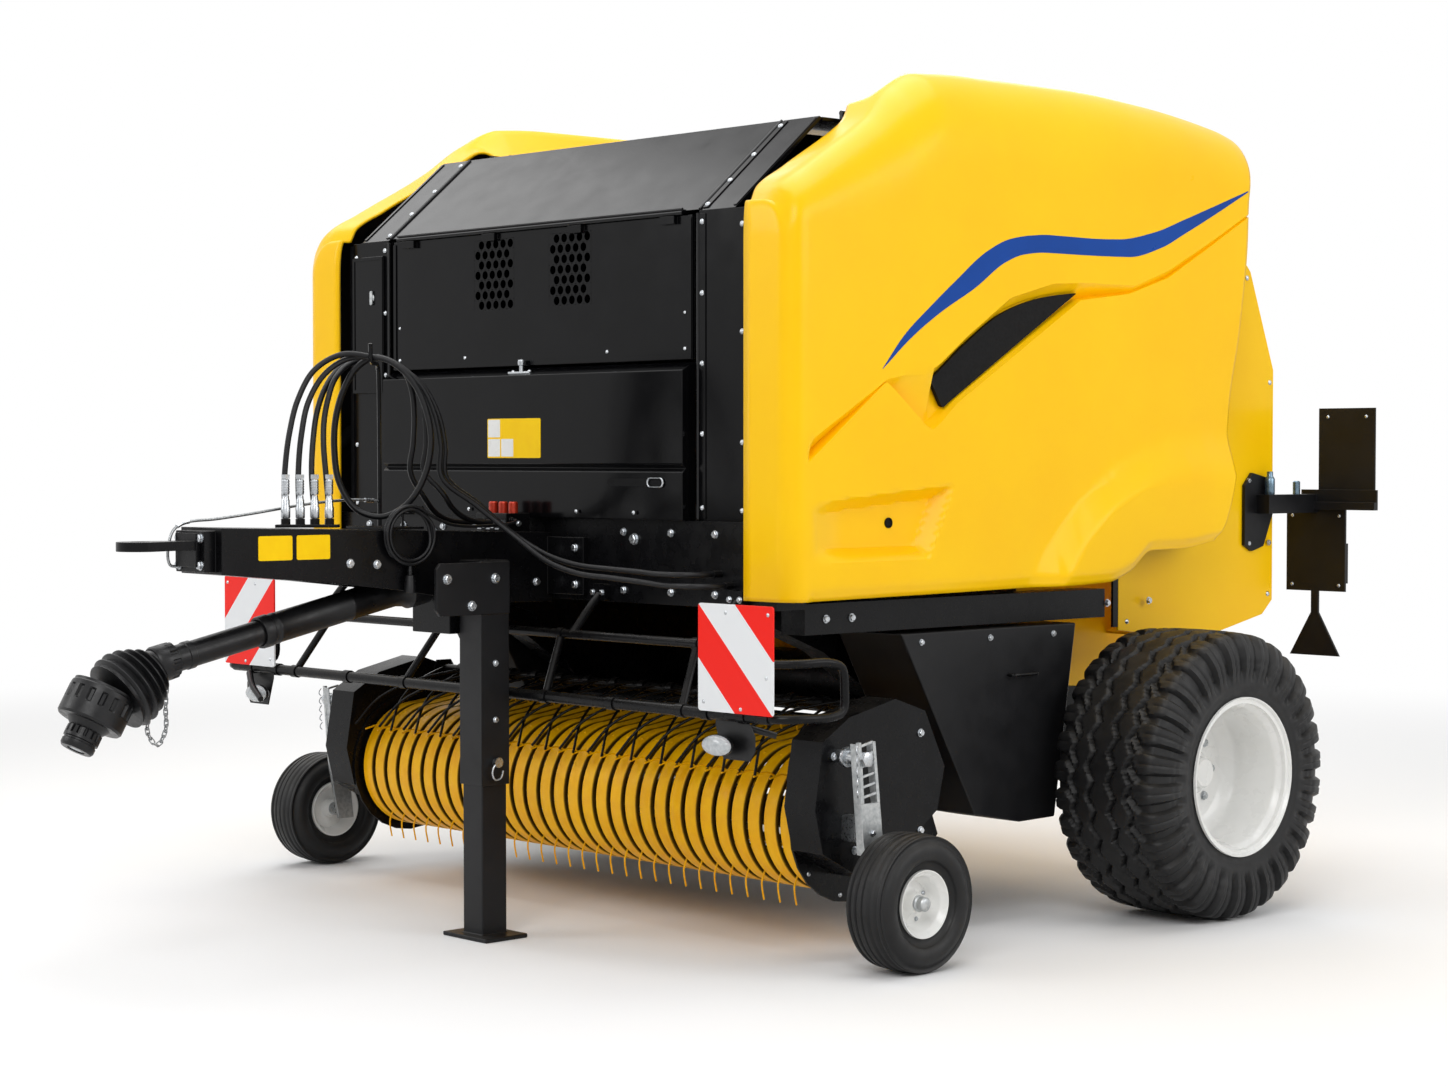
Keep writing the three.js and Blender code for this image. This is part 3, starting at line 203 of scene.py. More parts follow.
bothSigns = (("left", 1), ("right", -1))
origin, toSide, toFront, toTop = (0, 0, 0), (1, 0, 0), (0, -1, 0), (0, 0, 1)


# A circle's arc in the plane of the last two coordinates of a prism along X.
def arcPoints(centre, radius, fromDegrees, toDegrees, steps):
    angle = np.radians(np.linspace(fromDegrees, toDegrees, steps + 1))
    return np.stack([centre[0] + radius * np.cos(angle), centre[1] + radius * np.sin(angle)], -1)


# The smooth line through the points, a centripetal Catmull-Rom curve, at about the given spacing.
def smoothPath(points, spacing):
    points = np.asarray(points, float)
    padded = np.vstack([2 * points[0] - points[1], points, 2 * points[-1] - points[-2]])
    pieces = []
    for a, b, c, d in zip(padded, padded[1:], padded[2:], padded[3:]):
        spans = [max(math.sqrt(np.linalg.norm(q - p)), 1e-4) for p, q in ((a, b), (b, c), (c, d))]
        leave = ((b - a) / spans[0] - (c - a) / (spans[0] + spans[1]) + (c - b) / spans[1]) * spans[1]
        arrive = ((c - b) / spans[1] - (d - b) / (spans[1] + spans[2]) + (d - c) / spans[2]) * spans[1]
        count = max(2, int(round(np.linalg.norm(c - b) / spacing)))
        s = (np.arange(count) / count)[:, None]
        cubic = b + leave * s + (3 * (c - b) - 2 * leave - arrive) * s**2 + (2 * (b - c) + leave + arrive) * s**3
        pieces.append(cubic)
    return np.vstack(pieces + [points[-1:]])


# The value at x of a smooth line through (x, value) points, with slopes that never overshoot.
def smoothAlong(line, x):
    xs, ys = np.asarray(line, float).T
    steps = np.diff(xs)
    slopes = np.diff(ys) / steps
    inner = np.where(
        slopes[:-1] * slopes[1:] > 0, 2 * slopes[:-1] * slopes[1:] / (slopes[:-1] + slopes[1:] + 1e-12), 0
    )
    tangents = np.concatenate([slopes[:1], inner, slopes[-1:]])
    x = np.clip(x, xs[0], xs[-1])
    k = np.clip(np.searchsorted(xs, x) - 1, 0, len(steps) - 1)
    s, h = (x - xs[k]) / steps[k], steps[k]
    hold = (1 + 2 * s) * (1 - s) ** 2 * ys[k] + s**2 * (3 - 2 * s) * ys[k + 1]
    return hold + h * s * (1 - s) ** 2 * tangents[k] - h * s**2 * (1 - s) * tangents[k + 1]


# Zero up to low, one from high, and the cubic 3t2 - 2t3 between.
def smoothStep(low, high, value):
    t = np.clip((value - low) / (high - low), 0, 1)
    return t * t * (3 - 2 * t)


# Smooth shading, apart from edges that turn by more than the angle.
def keepSharp(mesh, degrees):
    mesh.polygons.foreach_set("use_smooth", np.ones(len(mesh.polygons), bool))
    mesh.set_sharp_from_angle(angle=math.radians(degrees))


# Gives a piece its finish, its rounded edges and its body.
def finishPiece(obj, finish, body, slot, replaces, bevel):
    slot = finishSlots.get(finish.name) if slot == "own" else slot
    obj.data.materials.clear()
    obj.data.materials.append(finish)
    if bevel:
        rounding = obj.modifiers.new("edges", "BEVEL")
        rounding.width = bevel
        rounding.segments = 2
        rounding.limit_method = "ANGLE"
        rounding.angle_limit = math.radians(38)
        rounding.harden_normals = True
    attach(obj, body)
    if replaces:
        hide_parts(*replaces)
    return obj


def newObject(name, data):
    obj = bpy.data.objects.new(name, data)
    bpy.context.scene.collection.objects.link(obj)
    return obj


# Makes one object of the shapes, with doubled points merged and faces turned outwards.
def addPiece(name, shapes, finish, body="chassis", replaces=(), bevel=0.0, sharp=35, merge=True, slot="own"):
    points, faces = joinShapes(shapes)
    mesh = bpy.data.meshes.new(name)
    mesh.from_pydata((points + [0, axleY, 0]).tolist(), [], faces)
    work = bmesh.new()
    work.from_mesh(mesh)
    if merge:
        bmesh.ops.remove_doubles(work, verts=work.verts, dist=2e-6)
    bmesh.ops.recalc_face_normals(work, faces=work.faces)
    work.to_mesh(mesh)
    work.free()
    keepSharp(mesh, sharp)
    return finishPiece(newObject(name, mesh), finish, body, slot, replaces, bevel)


# A copy of a frame node with its loose triangles merged, flats joined and edges rounded.
def dressNode(node, finish, bevel=0.002, sharp=30, slot="own"):
    mesh = frame["nodes"][node].data.copy()
    work = bmesh.new()
    work.from_mesh(mesh)
    bmesh.ops.remove_doubles(work, verts=work.verts, dist=1e-5)
    bmesh.ops.dissolve_limit(work, angle_limit=math.radians(0.4), verts=work.verts, edges=work.edges)
    work.to_mesh(mesh)
    work.free()
    mesh.name = node + "_skin"
    for name in [layer.name for layer in mesh.attributes if layer.name.startswith("custom_normal")]:
        mesh.attributes.remove(mesh.attributes[name])
    keepSharp(mesh, sharp)
    return finishPiece(newObject(mesh.name, mesh), finish, bodyOf[node], slot, [node], bevel)


# Camera, at the reference viewing angle.
cameraSetup = {
    "place": (6.262, -5.532, 1.364),
    "azimuth": 46.951,
    "dip": 1.824,
    "lens": 67.98,
}
camera = newObject("camera", bpy.data.cameras.new("camera"))
camera.data.lens = cameraSetup["lens"]
camera.data.sensor_width = 36
camera.data.clip_end = 200
camera.location = cameraSetup["place"]
camera.rotation_euler = (math.radians(90 - cameraSetup["dip"]), 0, math.radians(cameraSetup["azimuth"]))
bpy.context.scene.camera = camera
print("camera placed")


# Materials. Colours are sRGB hex values.
def linearColour(hexValue):
    channels = np.array([int(hexValue[i:i + 2], 16) / 255 for i in (1, 3, 5)])
    linear = np.where(channels <= 0.04045, channels / 12.92, ((channels + 0.055) / 1.055) ** 2.4)
    return (*linear.tolist(), 1.0)


# Adds a shader node with its settings. Inputs, by name or number, are values, sockets to link, or nodes,
# which stand for their first output.
def addNode(tree, kind, settings=None, **inputs):
    made = tree.nodes.new("ShaderNode" + kind)
    for name, value in (settings or {}).items():
        setattr(made, name, value)
    for name, value in inputs.items():
        socket = made.inputs[int(name[5:])] if name.startswith("input") else made.inputs[name.replace("_", " ")]
        if isinstance(value, bpy.types.Node):
            value = value.outputs[0]
        if isinstance(value, bpy.types.NodeSocket):
            tree.links.new(value, socket)
        else:
            socket.default_value = value
    return made


# Roughness that runs between two values as a pattern's value does.
def drivenRoughness(tree, shader, pattern, low, high, **span):
    rough = addNode(tree, "MapRange", Value=pattern, To_Min=low, To_Max=high, **span)
    tree.links.new(rough.outputs["Result"], shader.inputs["Roughness"])


# Starts a material: its principled shader and the object's own coordinates.
def startMaterial(name, **shaderInputs):
    material = bpy.data.materials.new(name)
    material.use_nodes = True
    tree = material.node_tree
    shader = tree.nodes["Principled BSDF"]
    for socket, value in shaderInputs.items():
        shader.inputs[socket.replace("_", " ")].default_value = value
    place = addNode(tree, "TexCoord").outputs["Object"]
    return material, tree, shader, place


# Colour and roughness that drift over the surface, fine grain, and dust lying on what faces up.
def surfaceFinish(name, colour, shade, patch, roughness, spread, grain, grainDepth, dust=0.0, **shaderInputs):
    material, tree, shader, place = startMaterial(name, **shaderInputs)
    drift = addNode(tree, "TexNoise", Vector=place, Scale=1 / patch, Detail=4.0, Roughness=0.6)
    tone = addNode(tree, "MapRange", Value=drift.outputs["Fac"], From_Min=0.3, From_Max=0.7)
    mixed = addNode(
        tree, "Mix", {"data_type": "RGBA"}, Factor=tone, input6=linearColour(colour), input7=linearColour(shade)
    )
    colourOut = mixed.outputs[2]
    if dust:
        facing = addNode(tree, "SeparateXYZ", Vector=addNode(tree, "NewGeometry").outputs["Normal"])
        settled = addNode(tree, "MapRange", Value=facing.outputs["Z"], From_Min=0.2, From_Max=1.0, To_Max=dust)
        patchy = addNode(tree, "Math", {"operation": "MULTIPLY"}, input0=settled, input1=tone)
        dusty = addNode(
            tree, "Mix", {"data_type": "RGBA"}, Factor=patchy, input6=colourOut, input7=linearColour("#8C8474")
        )
        colourOut = dusty.outputs[2]
    tree.links.new(colourOut, shader.inputs["Base Color"])
    smear = addNode(tree, "TexNoise", Vector=place, Scale=3 / patch, Detail=6.0)
    drivenRoughness(
        tree, shader, smear.outputs["Fac"], roughness - spread, roughness + spread, From_Min=0.25, From_Max=0.75
    )
    if grainDepth:
        fine = addNode(tree, "TexNoise", Vector=place, Scale=1 / grain, Detail=3.0)
        relief = addNode(tree, "Bump", Height=fine.outputs["Fac"], Distance=grainDepth, Strength=1.0)
        tree.links.new(relief.outputs["Normal"], shader.inputs["Normal"])
    return material


# Gloss enamel on moulded fibreglass and sheet: deep even colour under a clear wet shine.
yellowEnamel = surfaceFinish(
    "yellow_gloss_enamel", "#FFCB00", "#FDC300", 0.5, 0.32, 0.05, 0.006, 0.00006,
    IOR=1.5, Specular_IOR_Level=0.2, Coat_Weight=0.06, Coat_Roughness=0.06,
)
# Powder coat baked on pressed sheet: warmer yellow, softer shine with a slight orange peel.
bandPowderCoat = surfaceFinish(
    "amber_powder_coated_bands", "#FFC104", "#F5AE02", 0.06, 0.36, 0.08, 0.004, 0.0001,
    IOR=1.5, Specular_IOR_Level=0.2, Coat_Weight=0.06, Coat_Roughness=0.2,
)


# The same coat with painted shade: each band darkens to near black towards its edges, standing in for the shade in
# the gaps between bands, one gap for each pitch along X.
def bandFinishWithPaintedGapShade(pitch, bandWidth):
    material = bandPowderCoat.copy()
    material.name = "amber_powder_coat_painted_gap_shade"
    tree = material.node_tree
    shader = tree.nodes["Principled BSDF"]
    place = addNode(tree, "TexCoord").outputs["Object"]
    parts = addNode(tree, "SeparateXYZ", Vector=place)
    turns = addNode(tree, "Math", {"operation": "DIVIDE"}, input0=parts.outputs["X"], input1=pitch)
    nearest = addNode(tree, "Math", {"operation": "ROUND"}, input0=turns)
    offset = addNode(tree, "Math", {"operation": "SUBTRACT"}, input0=turns, input1=nearest)
    away = addNode(tree, "Math", {"operation": "ABSOLUTE"}, input0=offset)
    edge = bandWidth / 2 / pitch
    # painted shade: near black mixed into the colour towards each band's edge, for the shade that falls in the gap
    paintedGapShade = addNode(tree, "MapRange", Value=away.outputs["Value"], From_Min=edge - 0.05, From_Max=edge, To_Max=0.93)
    clean = shader.inputs["Base Color"].links[0].from_socket
    mixed = addNode(tree, "Mix", {"data_type": "RGBA"}, Factor=paintedGapShade, input6=clean, input7=linearColour("#1A1204"))
    tree.links.new(mixed.outputs[2], shader.inputs["Base Color"])
    return material


# Gloss black enamel on flat sheet: a dark mirror with wiped marks.
blackEnamel = surfaceFinish(
    "black_gloss_enamel_sheet", "#050506", "#0A0A0C", 0.25, 0.16, 0.05, 0.008, 0.00005,
    IOR=1.5, Specular_IOR_Level=0.14,
)
# Black paint sprayed on the welded frame: duller, dust lies on what faces up.
framePaint = surfaceFinish(
    "black_sprayed_frame_paint", "#060607", "#0D0D0F", 0.12, 0.28, 0.08, 0.008, 0.00004, 0.06,
    IOR=1.5, Specular_IOR_Level=0.16,
)
# Textured powder coat on the shields: matt black with a fine leathery grain.
shieldPowderCoat = surfaceFinish(
    "matt_textured_powder_coat", "#0D0D0F", "#161618", 0.2, 0.42, 0.08, 0.003, 0.00008, 0.08,
    IOR=1.5, Specular_IOR_Level=0.25,
)
# Moulded polyethylene of the drive guard: waxy black with scuffed paler rings.
guardPlastic = surfaceFinish(
    "moulded_black_polyethylene", "#09090A", "#141416", 0.05, 0.36, 0.1, 0.004, 0.00008,
    IOR=1.51, Specular_IOR_Level=0.3,
)
# Tyre rubber, moulded and sun-greyed: dull, dry, dusted where it faces up.
tyreRubber = surfaceFinish(
    "moulded_tyre_rubber", "#0B0B0C", "#141415", 0.09, 0.5, 0.1, 0.002, 0.0002, 0.08,
    IOR=1.52, Specular_IOR_Level=0.3,
)
# Stove enamel on the wheel discs: clean white with a soft shine.
whiteEnamel = surfaceFinish(
    "white_stove_enamel", "#EDEDEB", "#E2E2DF", 0.2, 0.28, 0.06, 0.006, 0.00006,
    IOR=1.5, Coat_Weight=0.3, Coat_Roughness=0.1,
)
# Bright zinc plate on bolts and fittings: silvery with cloudy patches.
zincPlate = surfaceFinish(
    "bright_zinc_plated_steel", "#C9CCCF", "#A5A9AD", 0.02, 0.3, 0.1, 0.002, 0.0001,
    Metallic=1.0,
)
# Hot-dip galvanised plate: pale grey, spangled and rougher.
galvanised = surfaceFinish(
    "hot_dip_galvanised_plate", "#C4C6C6", "#9EA2A4", 0.012, 0.42, 0.12, 0.003, 0.0002,
    Metallic=0.85,
)
# Blank warning foil, screen-printed yellow vinyl with a satin face.
plateYellow = surfaceFinish(
    "blank_yellow_vinyl_plate", "#FFD200", "#FBCA00", 0.05, 0.4, 0.05, 0.01, 0.00002,
    IOR=1.46, Specular_IOR_Level=0.2,
)
# Blue vinyl stripe stuck on the cover: flat deep blue under a light gloss.
blueVinyl = surfaceFinish(
    "blue_vinyl_stripe", "#00439A", "#003C8C", 0.3, 0.3, 0.04, 0.02, 0.00002,
    IOR=1.46, Specular_IOR_Level=0.2,
)
# Soot-black plastic mesh behind the vent and grilles: drinks the light.
ventPlastic = surfaceFinish(
    "moulded_vent_plastic", "#070708", "#0D0D0E", 0.03, 0.6, 0.08, 0.002, 0.0002,
    IOR=1.5, Specular_IOR_Level=0.12,
)
# Clear polycarbonate lamp glass: pale, wet, partly see-through.
clearLens = surfaceFinish(
    "clear_moulded_polycarbonate", "#E4E8EA", "#C4CACE", 0.01, 0.1, 0.04, 0.004, 0.0003,
    IOR=1.58, Transmission_Weight=0.3,
)
# Red acrylic reflector with moulded prisms.
redLens = surfaceFinish(
    "red_prismatic_acrylic", "#C8140F", "#A50C0A", 0.006, 0.16, 0.05, 0.003, 0.0004,
    IOR=1.49, Coat_Weight=0.5,
)
# Oxidised steel cable: grey strands with a dull glint.
steelRope = surfaceFinish(
    "stranded_steel_rope", "#A7A9AA", "#77797B", 0.006, 0.42, 0.1, 0.0015, 0.0004,
    Metallic=0.9,
)
# Blued steel of the carrier's springs and pins.
bluedSteel = surfaceFinish(
    "blued_spring_steel", "#7C93A3", "#566B7A", 0.02, 0.3, 0.08, 0.002, 0.0001,
    Metallic=0.8,
)
# Red anodised caps of the hydraulic fittings.
redCap = surfaceFinish(
    "red_anodised_cap", "#C4371C", "#9E2A14", 0.008, 0.35, 0.08, 0.002, 0.0001,
    Metallic=0.4,
)


# Hose cover of wrapped rubber: the cloth's turns show as fine rings round the hose.
def hoseRubberFinish(name, colour, ringSpacing):
    material, tree, shader, place = startMaterial(name, IOR=1.52, Specular_IOR_Level=0.25)
    rings = addNode(
        tree, "TexWave", {"wave_type": "BANDS", "bands_direction": "DIAGONAL"}, Vector=place,
        Scale=0.314 / ringSpacing, Distortion=2.0,
    )
    drift = addNode(tree, "TexNoise", Vector=place, Scale=25.0, Detail=3.0)
    mixed = addNode(
        tree, "Mix", {"data_type": "RGBA"}, Factor=drift.outputs["Fac"], input6=linearColour(colour),
        input7=linearColour("#111113"),
    )
    tree.links.new(mixed.outputs[2], shader.inputs["Base Color"])
    drivenRoughness(tree, shader, drift.outputs["Fac"], 0.3, 0.5)
    relief = addNode(tree, "Bump", Height=rings.outputs["Fac"], Distance=0.0002, Strength=0.6)
    tree.links.new(relief.outputs["Normal"], shader.inputs["Normal"])
    return material


hoseRubber = hoseRubberFinish("wrapped_hose_rubber", "#0C0C0E", 0.004)
cableJacket = hoseRubberFinish("extruded_cable_jacket", "#101012", 0.006)


# Warning board foil: red and white bands at 45 degrees, falling outwards, over tiny glass beads.
def boardFoil(name, centre, lean, bandWidth):
    material, tree, shader, place = startMaterial(name, IOR=1.5, Specular_IOR_Level=0.25)
    middle = addNode(
        tree, "Mapping", {"vector_type": "POINT"}, Vector=place, Location=(-centre[0], -centre[1], -centre[2])
    )
    parts = addNode(tree, "SeparateXYZ", Vector=middle.outputs["Vector"])
    leaned = addNode(tree, "Math", {"operation": "MULTIPLY"}, input0=parts.outputs["X"], input1=lean)
    across = addNode(tree, "Math", {"operation": "ADD"}, input0=leaned, input1=parts.outputs["Z"])
    diagonal = bandWidth * 2 * math.sqrt(2)
    turns = addNode(tree, "Math", {"operation": "DIVIDE"}, input0=across, input1=diagonal)
    phase = addNode(tree, "Math", {"operation": "ADD"}, input0=turns, input1=10.5)
    part = addNode(tree, "Math", {"operation": "FRACT"}, input0=phase)
    band = addNode(tree, "Math", {"operation": "GREATER_THAN"}, input0=part, input1=0.5)
    mixed = addNode(
        tree, "Mix", {"data_type": "RGBA"}, Factor=band, input6=linearColour("#F01A0C"),
        input7=linearColour("#E4E6E8"),
    )
    tree.links.new(mixed.outputs[2], shader.inputs["Base Color"])
    beads = addNode(tree, "TexVoronoi", Vector=place, Scale=400.0)
    drivenRoughness(tree, shader, beads.outputs["Distance"], 0.25, 0.45)
    return material


# The record's material slot that each finish belongs to. The others have none.
slotFinishes = {
    "yellow_sheet": [yellowEnamel],
    "pickup_yellow": [bandPowderCoat],
    "black_paint": [blackEnamel, framePaint, ventPlastic],
    "satin_black": [shieldPowderCoat],
    "guard_plastic": [guardPlastic],
    "tyre_rubber": [tyreRubber],
    "white_rim": [whiteEnamel],
    "zinc_steel": [zincPlate, galvanised, steelRope, bluedSteel],
    "hose_rubber": [hoseRubber, cableJacket],
}
finishSlots = {finish.name: slot for slot, finishes in slotFinishes.items() for finish in finishes}
print("materials made:", len(bpy.data.materials))


# Cords: four hydraulic hoses hung on the hook, the control cable with its coil, and the safety rope.
hoseSetup = {
    "diameter": 0.016,
    "hookX": -0.02,
    "hookForward": 2.03,
    "hookTop": 1.64,
    "hangDegrees": 46.95,
    "couplingHeight": 1.192,
    "spacing": 0.0175,
    "bulkheadFace": -1.515,
    "blockFace": -1.65,
}


# The hoses hang in upright planes: u runs along a plane, t from plane to plane, z is the height.
def hungAt(points):
    u, t, z = np.asarray(points, float).T
    angle = math.radians(hoseSetup["hangDegrees"])
    c, s = math.cos(angle), math.sin(angle)
    return np.stack([hoseSetup["hookX"] + c * u - s * t, -hoseSetup["hookForward"] + s * u + c * t, z], -1)


# One turn over the hook, down, round and up again, drifting from plane t0 to plane t1.
def hangingTurn(t0, t1):
    turn = np.array([
        [0.04, 0, 1.632], [0.082, 0.06, 1.605], [0.122, 0.12, 1.556], [0.15, 0.2, 1.488], [0.162, 0.3, 1.405],
        [0.142, 0.4, 1.305], [0.092, 0.5, 1.228], [0.022, 0.6, 1.194], [-0.05, 0.7, 1.215], [-0.098, 0.78, 1.29],
        [-0.112, 0.86, 1.385], [-0.108, 0.92, 1.468], [-0.086, 0.97, 1.548], [-0.048, 1, 1.612], [0, 1, 1.64],
    ])
    turn[:, 1] = t0 + turn[:, 1] * (t1 - t0)
    return turn.tolist()


# The point over the hook, so many planes aside.
def overHook(planes):
    return [0, planes * hoseSetup["spacing"], hoseSetup["hookTop"]]


plugZ, blockY, bulkheadY = hoseSetup["couplingHeight"], hoseSetup["blockFace"], hoseSetup["bulkheadFace"]
hangingParts = [
    [
        [-0.222, -0.176, plugZ], [-0.222, -0.176, 1.212], [-0.226, -0.172, 1.26], [-0.224, -0.164, 1.34],
        [-0.214, -0.15, 1.43], [-0.194, -0.128, 1.52], [-0.152, -0.1, 1.602], [-0.08, -0.068, 1.646],
        overHook(-2.5), *hangingTurn(-2.5 * hoseSetup["spacing"], -0.5 * hoseSetup["spacing"]),
        [0.042, -0.008, 1.632], [0.086, -0.006, 1.603], [0.134, -0.002, 1.556], [0.168, 0.004, 1.48],
        [0.184, 0.012, 1.395], [0.186, 0.024, 1.305],
    ],
    [
        [-0.182, -0.176, plugZ], [-0.182, -0.176, 1.212], [-0.187, -0.172, 1.26], [-0.188, -0.164, 1.33],
        [-0.182, -0.15, 1.42], [-0.166, -0.126, 1.512], [-0.126, -0.09, 1.59], [-0.068, -0.05, 1.634],
        overHook(-1.5), *hangingTurn(-1.5 * hoseSetup["spacing"], 0.5 * hoseSetup["spacing"]),
        [0.042, 0.01, 1.632], [0.088, 0.012, 1.603], [0.138, 0.018, 1.556], [0.176, 0.028, 1.48],
        [0.194, 0.038, 1.395], [0.196, 0.052, 1.305],
    ],
    [
        [-0.142, -0.176, plugZ], [-0.142, -0.176, 1.212], [-0.148, -0.172, 1.26], [-0.152, -0.164, 1.33],
        [-0.15, -0.146, 1.41], [-0.144, -0.112, 1.486], [-0.128, -0.06, 1.554], [-0.1, -0.006, 1.606],
        [-0.056, 0.036, 1.636], overHook(2.5), [0.042, 0.045, 1.63], [0.08, 0.046, 1.6],
        [0.1, 0.048, 1.548], [0.106, 0.054, 1.48], [0.102, 0.062, 1.4], [0.092, 0.074, 1.32],
    ],
    [
        [-0.102, -0.176, plugZ], [-0.102, -0.176, 1.212], [-0.107, -0.172, 1.26], [-0.113, -0.166, 1.32],
        [-0.12, -0.154, 1.39], [-0.122, -0.134, 1.455], [-0.116, -0.104, 1.516], [-0.104, -0.058, 1.574],
        [-0.08, -0.01, 1.613], [-0.044, 0.018, 1.634], overHook(1.5), [0.044, 0.027, 1.63],
        [0.092, 0.03, 1.598], [0.124, 0.035, 1.545], [0.138, 0.042, 1.47], [0.14, 0.051, 1.395],
        [0.132, 0.062, 1.322],
    ],
]
runningParts = [
    [
        [0.118, -1.778, 1.225], [0.19, -1.702, 1.14], [0.29, -1.662, 1.068], [0.4, -1.64, 1.036],
        [0.52, -1.618, 1.026], [0.64, -1.606, 1.018], [0.73, -1.602, 1.012], [0.794, -1.601, 1.012],
        [0.83, -1.5915, 1.012], [0.8564, -1.565, 1.012], [0.866, -1.532, 1.012], [0.866, bulkheadY, 1.012],
    ],
    [
        [0.1, -1.752, 1.225], [0.16, -1.682, 1.145], [0.262, -1.64, 1.085], [0.372, -1.618, 1.058],
        [0.49, -1.604, 1.05], [0.6, -1.6, 1.046], [0.684, -1.602, 1.042], [0.748, -1.601, 1.042],
        [0.784, -1.5915, 1.042], [0.8104, -1.565, 1.042], [0.82, -1.532, 1.042], [0.82, bulkheadY, 1.042],
    ],
    [
        [-0.018, -1.858, 1.245], [-0.038, -1.802, 1.2], [-0.05, -1.745, 1.178], [-0.054, -1.69, 1.172],
        [-0.054, -1.666, 1.172], [-0.054, blockY, 1.172],
    ],
    [
        [0.056, -1.852, 1.262], [0.042, -1.802, 1.214], [0.032, -1.748, 1.185], [0.027, -1.697, 1.173],
        [0.026, -1.667, 1.172], [0.026, blockY, 1.172],
    ],
]


# A cord: a tube along its route.
def cordPiece(name, route, radius, sides, finish, replaces):
    obj = addPiece(name, [tubeShape(route, radius, sides)], finish, replaces=replaces, sharp=60)
    return obj


# A quick coupling on the riser: crimped sleeve, hexagon, ribbed collar, and the sleeve in the rack.
def hoseCoupling(name, foot, riser):
    up = riser - foot
    up /= np.linalg.norm(up)
    lower = [
        (0.0005, 0), (0.0005, 0.0115), (0.004, 0.0128), (0.03, 0.0128), (0.034, 0.0112), (0.05, 0.0112),
        (0.054, 0.0095), (0.064, 0.0088), (0.064, 0),
    ]
    shapes = [latheShape(lower, foot, up, 24)]
    collar = []
    for k in range(5):
        collar += [
            (0.072 + 0.007 * k, 0.0112), (0.0755 + 0.007 * k, 0.0112), (0.0757 + 0.007 * k, 0.0104),
            (0.0785 + 0.007 * k, 0.0104),
        ]
    shapes.append(latheShape([(0.0655, 0), (0.0655, 0.0098)] + collar + [(0.108, 0.0092), (0.108, 0)], foot, up, 24))
    shapes.append(latheShape([(0.109, 0), (0.109, 0.0125), (0.121, 0.0125), (0.121, 0)], foot, up, 6))
    return addPiece(name, shapes, zincPlate, sharp=40)


for i, (hanging, running) in enumerate(zip(hangingParts, runningParts), 1):
    points = np.vstack([hungAt(hanging), running])
    route = smoothPath(points, 0.008)[::-1]
    coupling = hoseCoupling(f"hose_coupling_{i}", points[0], points[1])
    cordPiece(
        f"hydraulic_hose_{i}_cord", route, hoseSetup["diameter"] / 2, 16, hoseRubber,
        [f"hydraulic_hose_{i}"],
    )

coilSetup = {
    "x": 0.118, "forward": 2.01, "height": 1.144, "inner": 0.0707, "outer": 0.0812, "aside": 0.0053,
    "startDegrees": 60,
}
cableSetup = {"diameter": 0.009, "startX": 0.066}
ropeSetup = {"diameter": 0.008, "endForward": 2.651}


# The cable's coil on its peg. Each turn says its radius and sideways place at its start and end, and
# over which share of the turn it crosses from one to the other, so that no turn lies in another.
def coilTurns():
    inner, outer, aside = coilSetup["inner"], coilSetup["outer"], coilSetup["aside"]
    turns = [
        (outer, inner, (0.86, 0.99), aside, aside, 1.0),
        (inner, inner, (0.5, 0.6), aside, -aside, 1.0),
        (inner, outer, (0.5, 0.72), -aside, -aside, 1.0),
        (outer, outer, (0.5, 0.6), -aside, -aside, 0.46),
    ]
    points = []
    for k, (r0, r1, crossing, x0, x1, whole) in enumerate(turns):
        share = np.arange(0, whole, 1 / 40)
        angle = math.radians(coilSetup["startDegrees"]) + 2 * math.pi * (share + k)
        radius = r0 + (r1 - r0) * smoothStep(*crossing, share)
        x = coilSetup["x"] + x0 + (x1 - x0) * smoothStep(0.74, 0.88, share)
        across, up = radius * np.cos(angle), radius * np.sin(angle)
        points.append(np.stack([x, across - coilSetup["forward"], up + coilSetup["height"]], -1))
    return np.vstack(points)


cableRun = [
    [cableSetup["startX"], -1.6, 1.178], [0.074, -1.6, 1.178], [0.087, -1.61, 1.174], [0.091, -1.63, 1.17],
    [0.092, -1.66, 1.167], [0.093, -1.7, 1.165], [0.094, -1.74, 1.164], [0.096, -1.78, 1.164],
    [0.1, -1.815, 1.166], [0.106, -1.845, 1.169], [0.114, -1.88, 1.1755], [0.121, -1.93, 1.1935],
]
plugTop = [coilSetup["x"], -coilSetup["forward"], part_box("control_plug")[1].z]
cableRoute = np.vstack([
    smoothPath(np.vstack([cableRun, coilTurns()[:2]]), 0.005)[:-2], coilTurns()[1:],
])
cableEnd = [coilTurns()[-1], [0.1165, -2.0185, 1.0735], plugTop]
cableRoute = np.vstack([cableRoute[:-1], smoothPath(np.vstack([cableRoute[-3:-1], cableEnd]), 0.004)[1:]])
cableRoute = cableRoute[np.append(True, np.linalg.norm(np.diff(cableRoute, axis=0), axis=1) > 0.0012)]

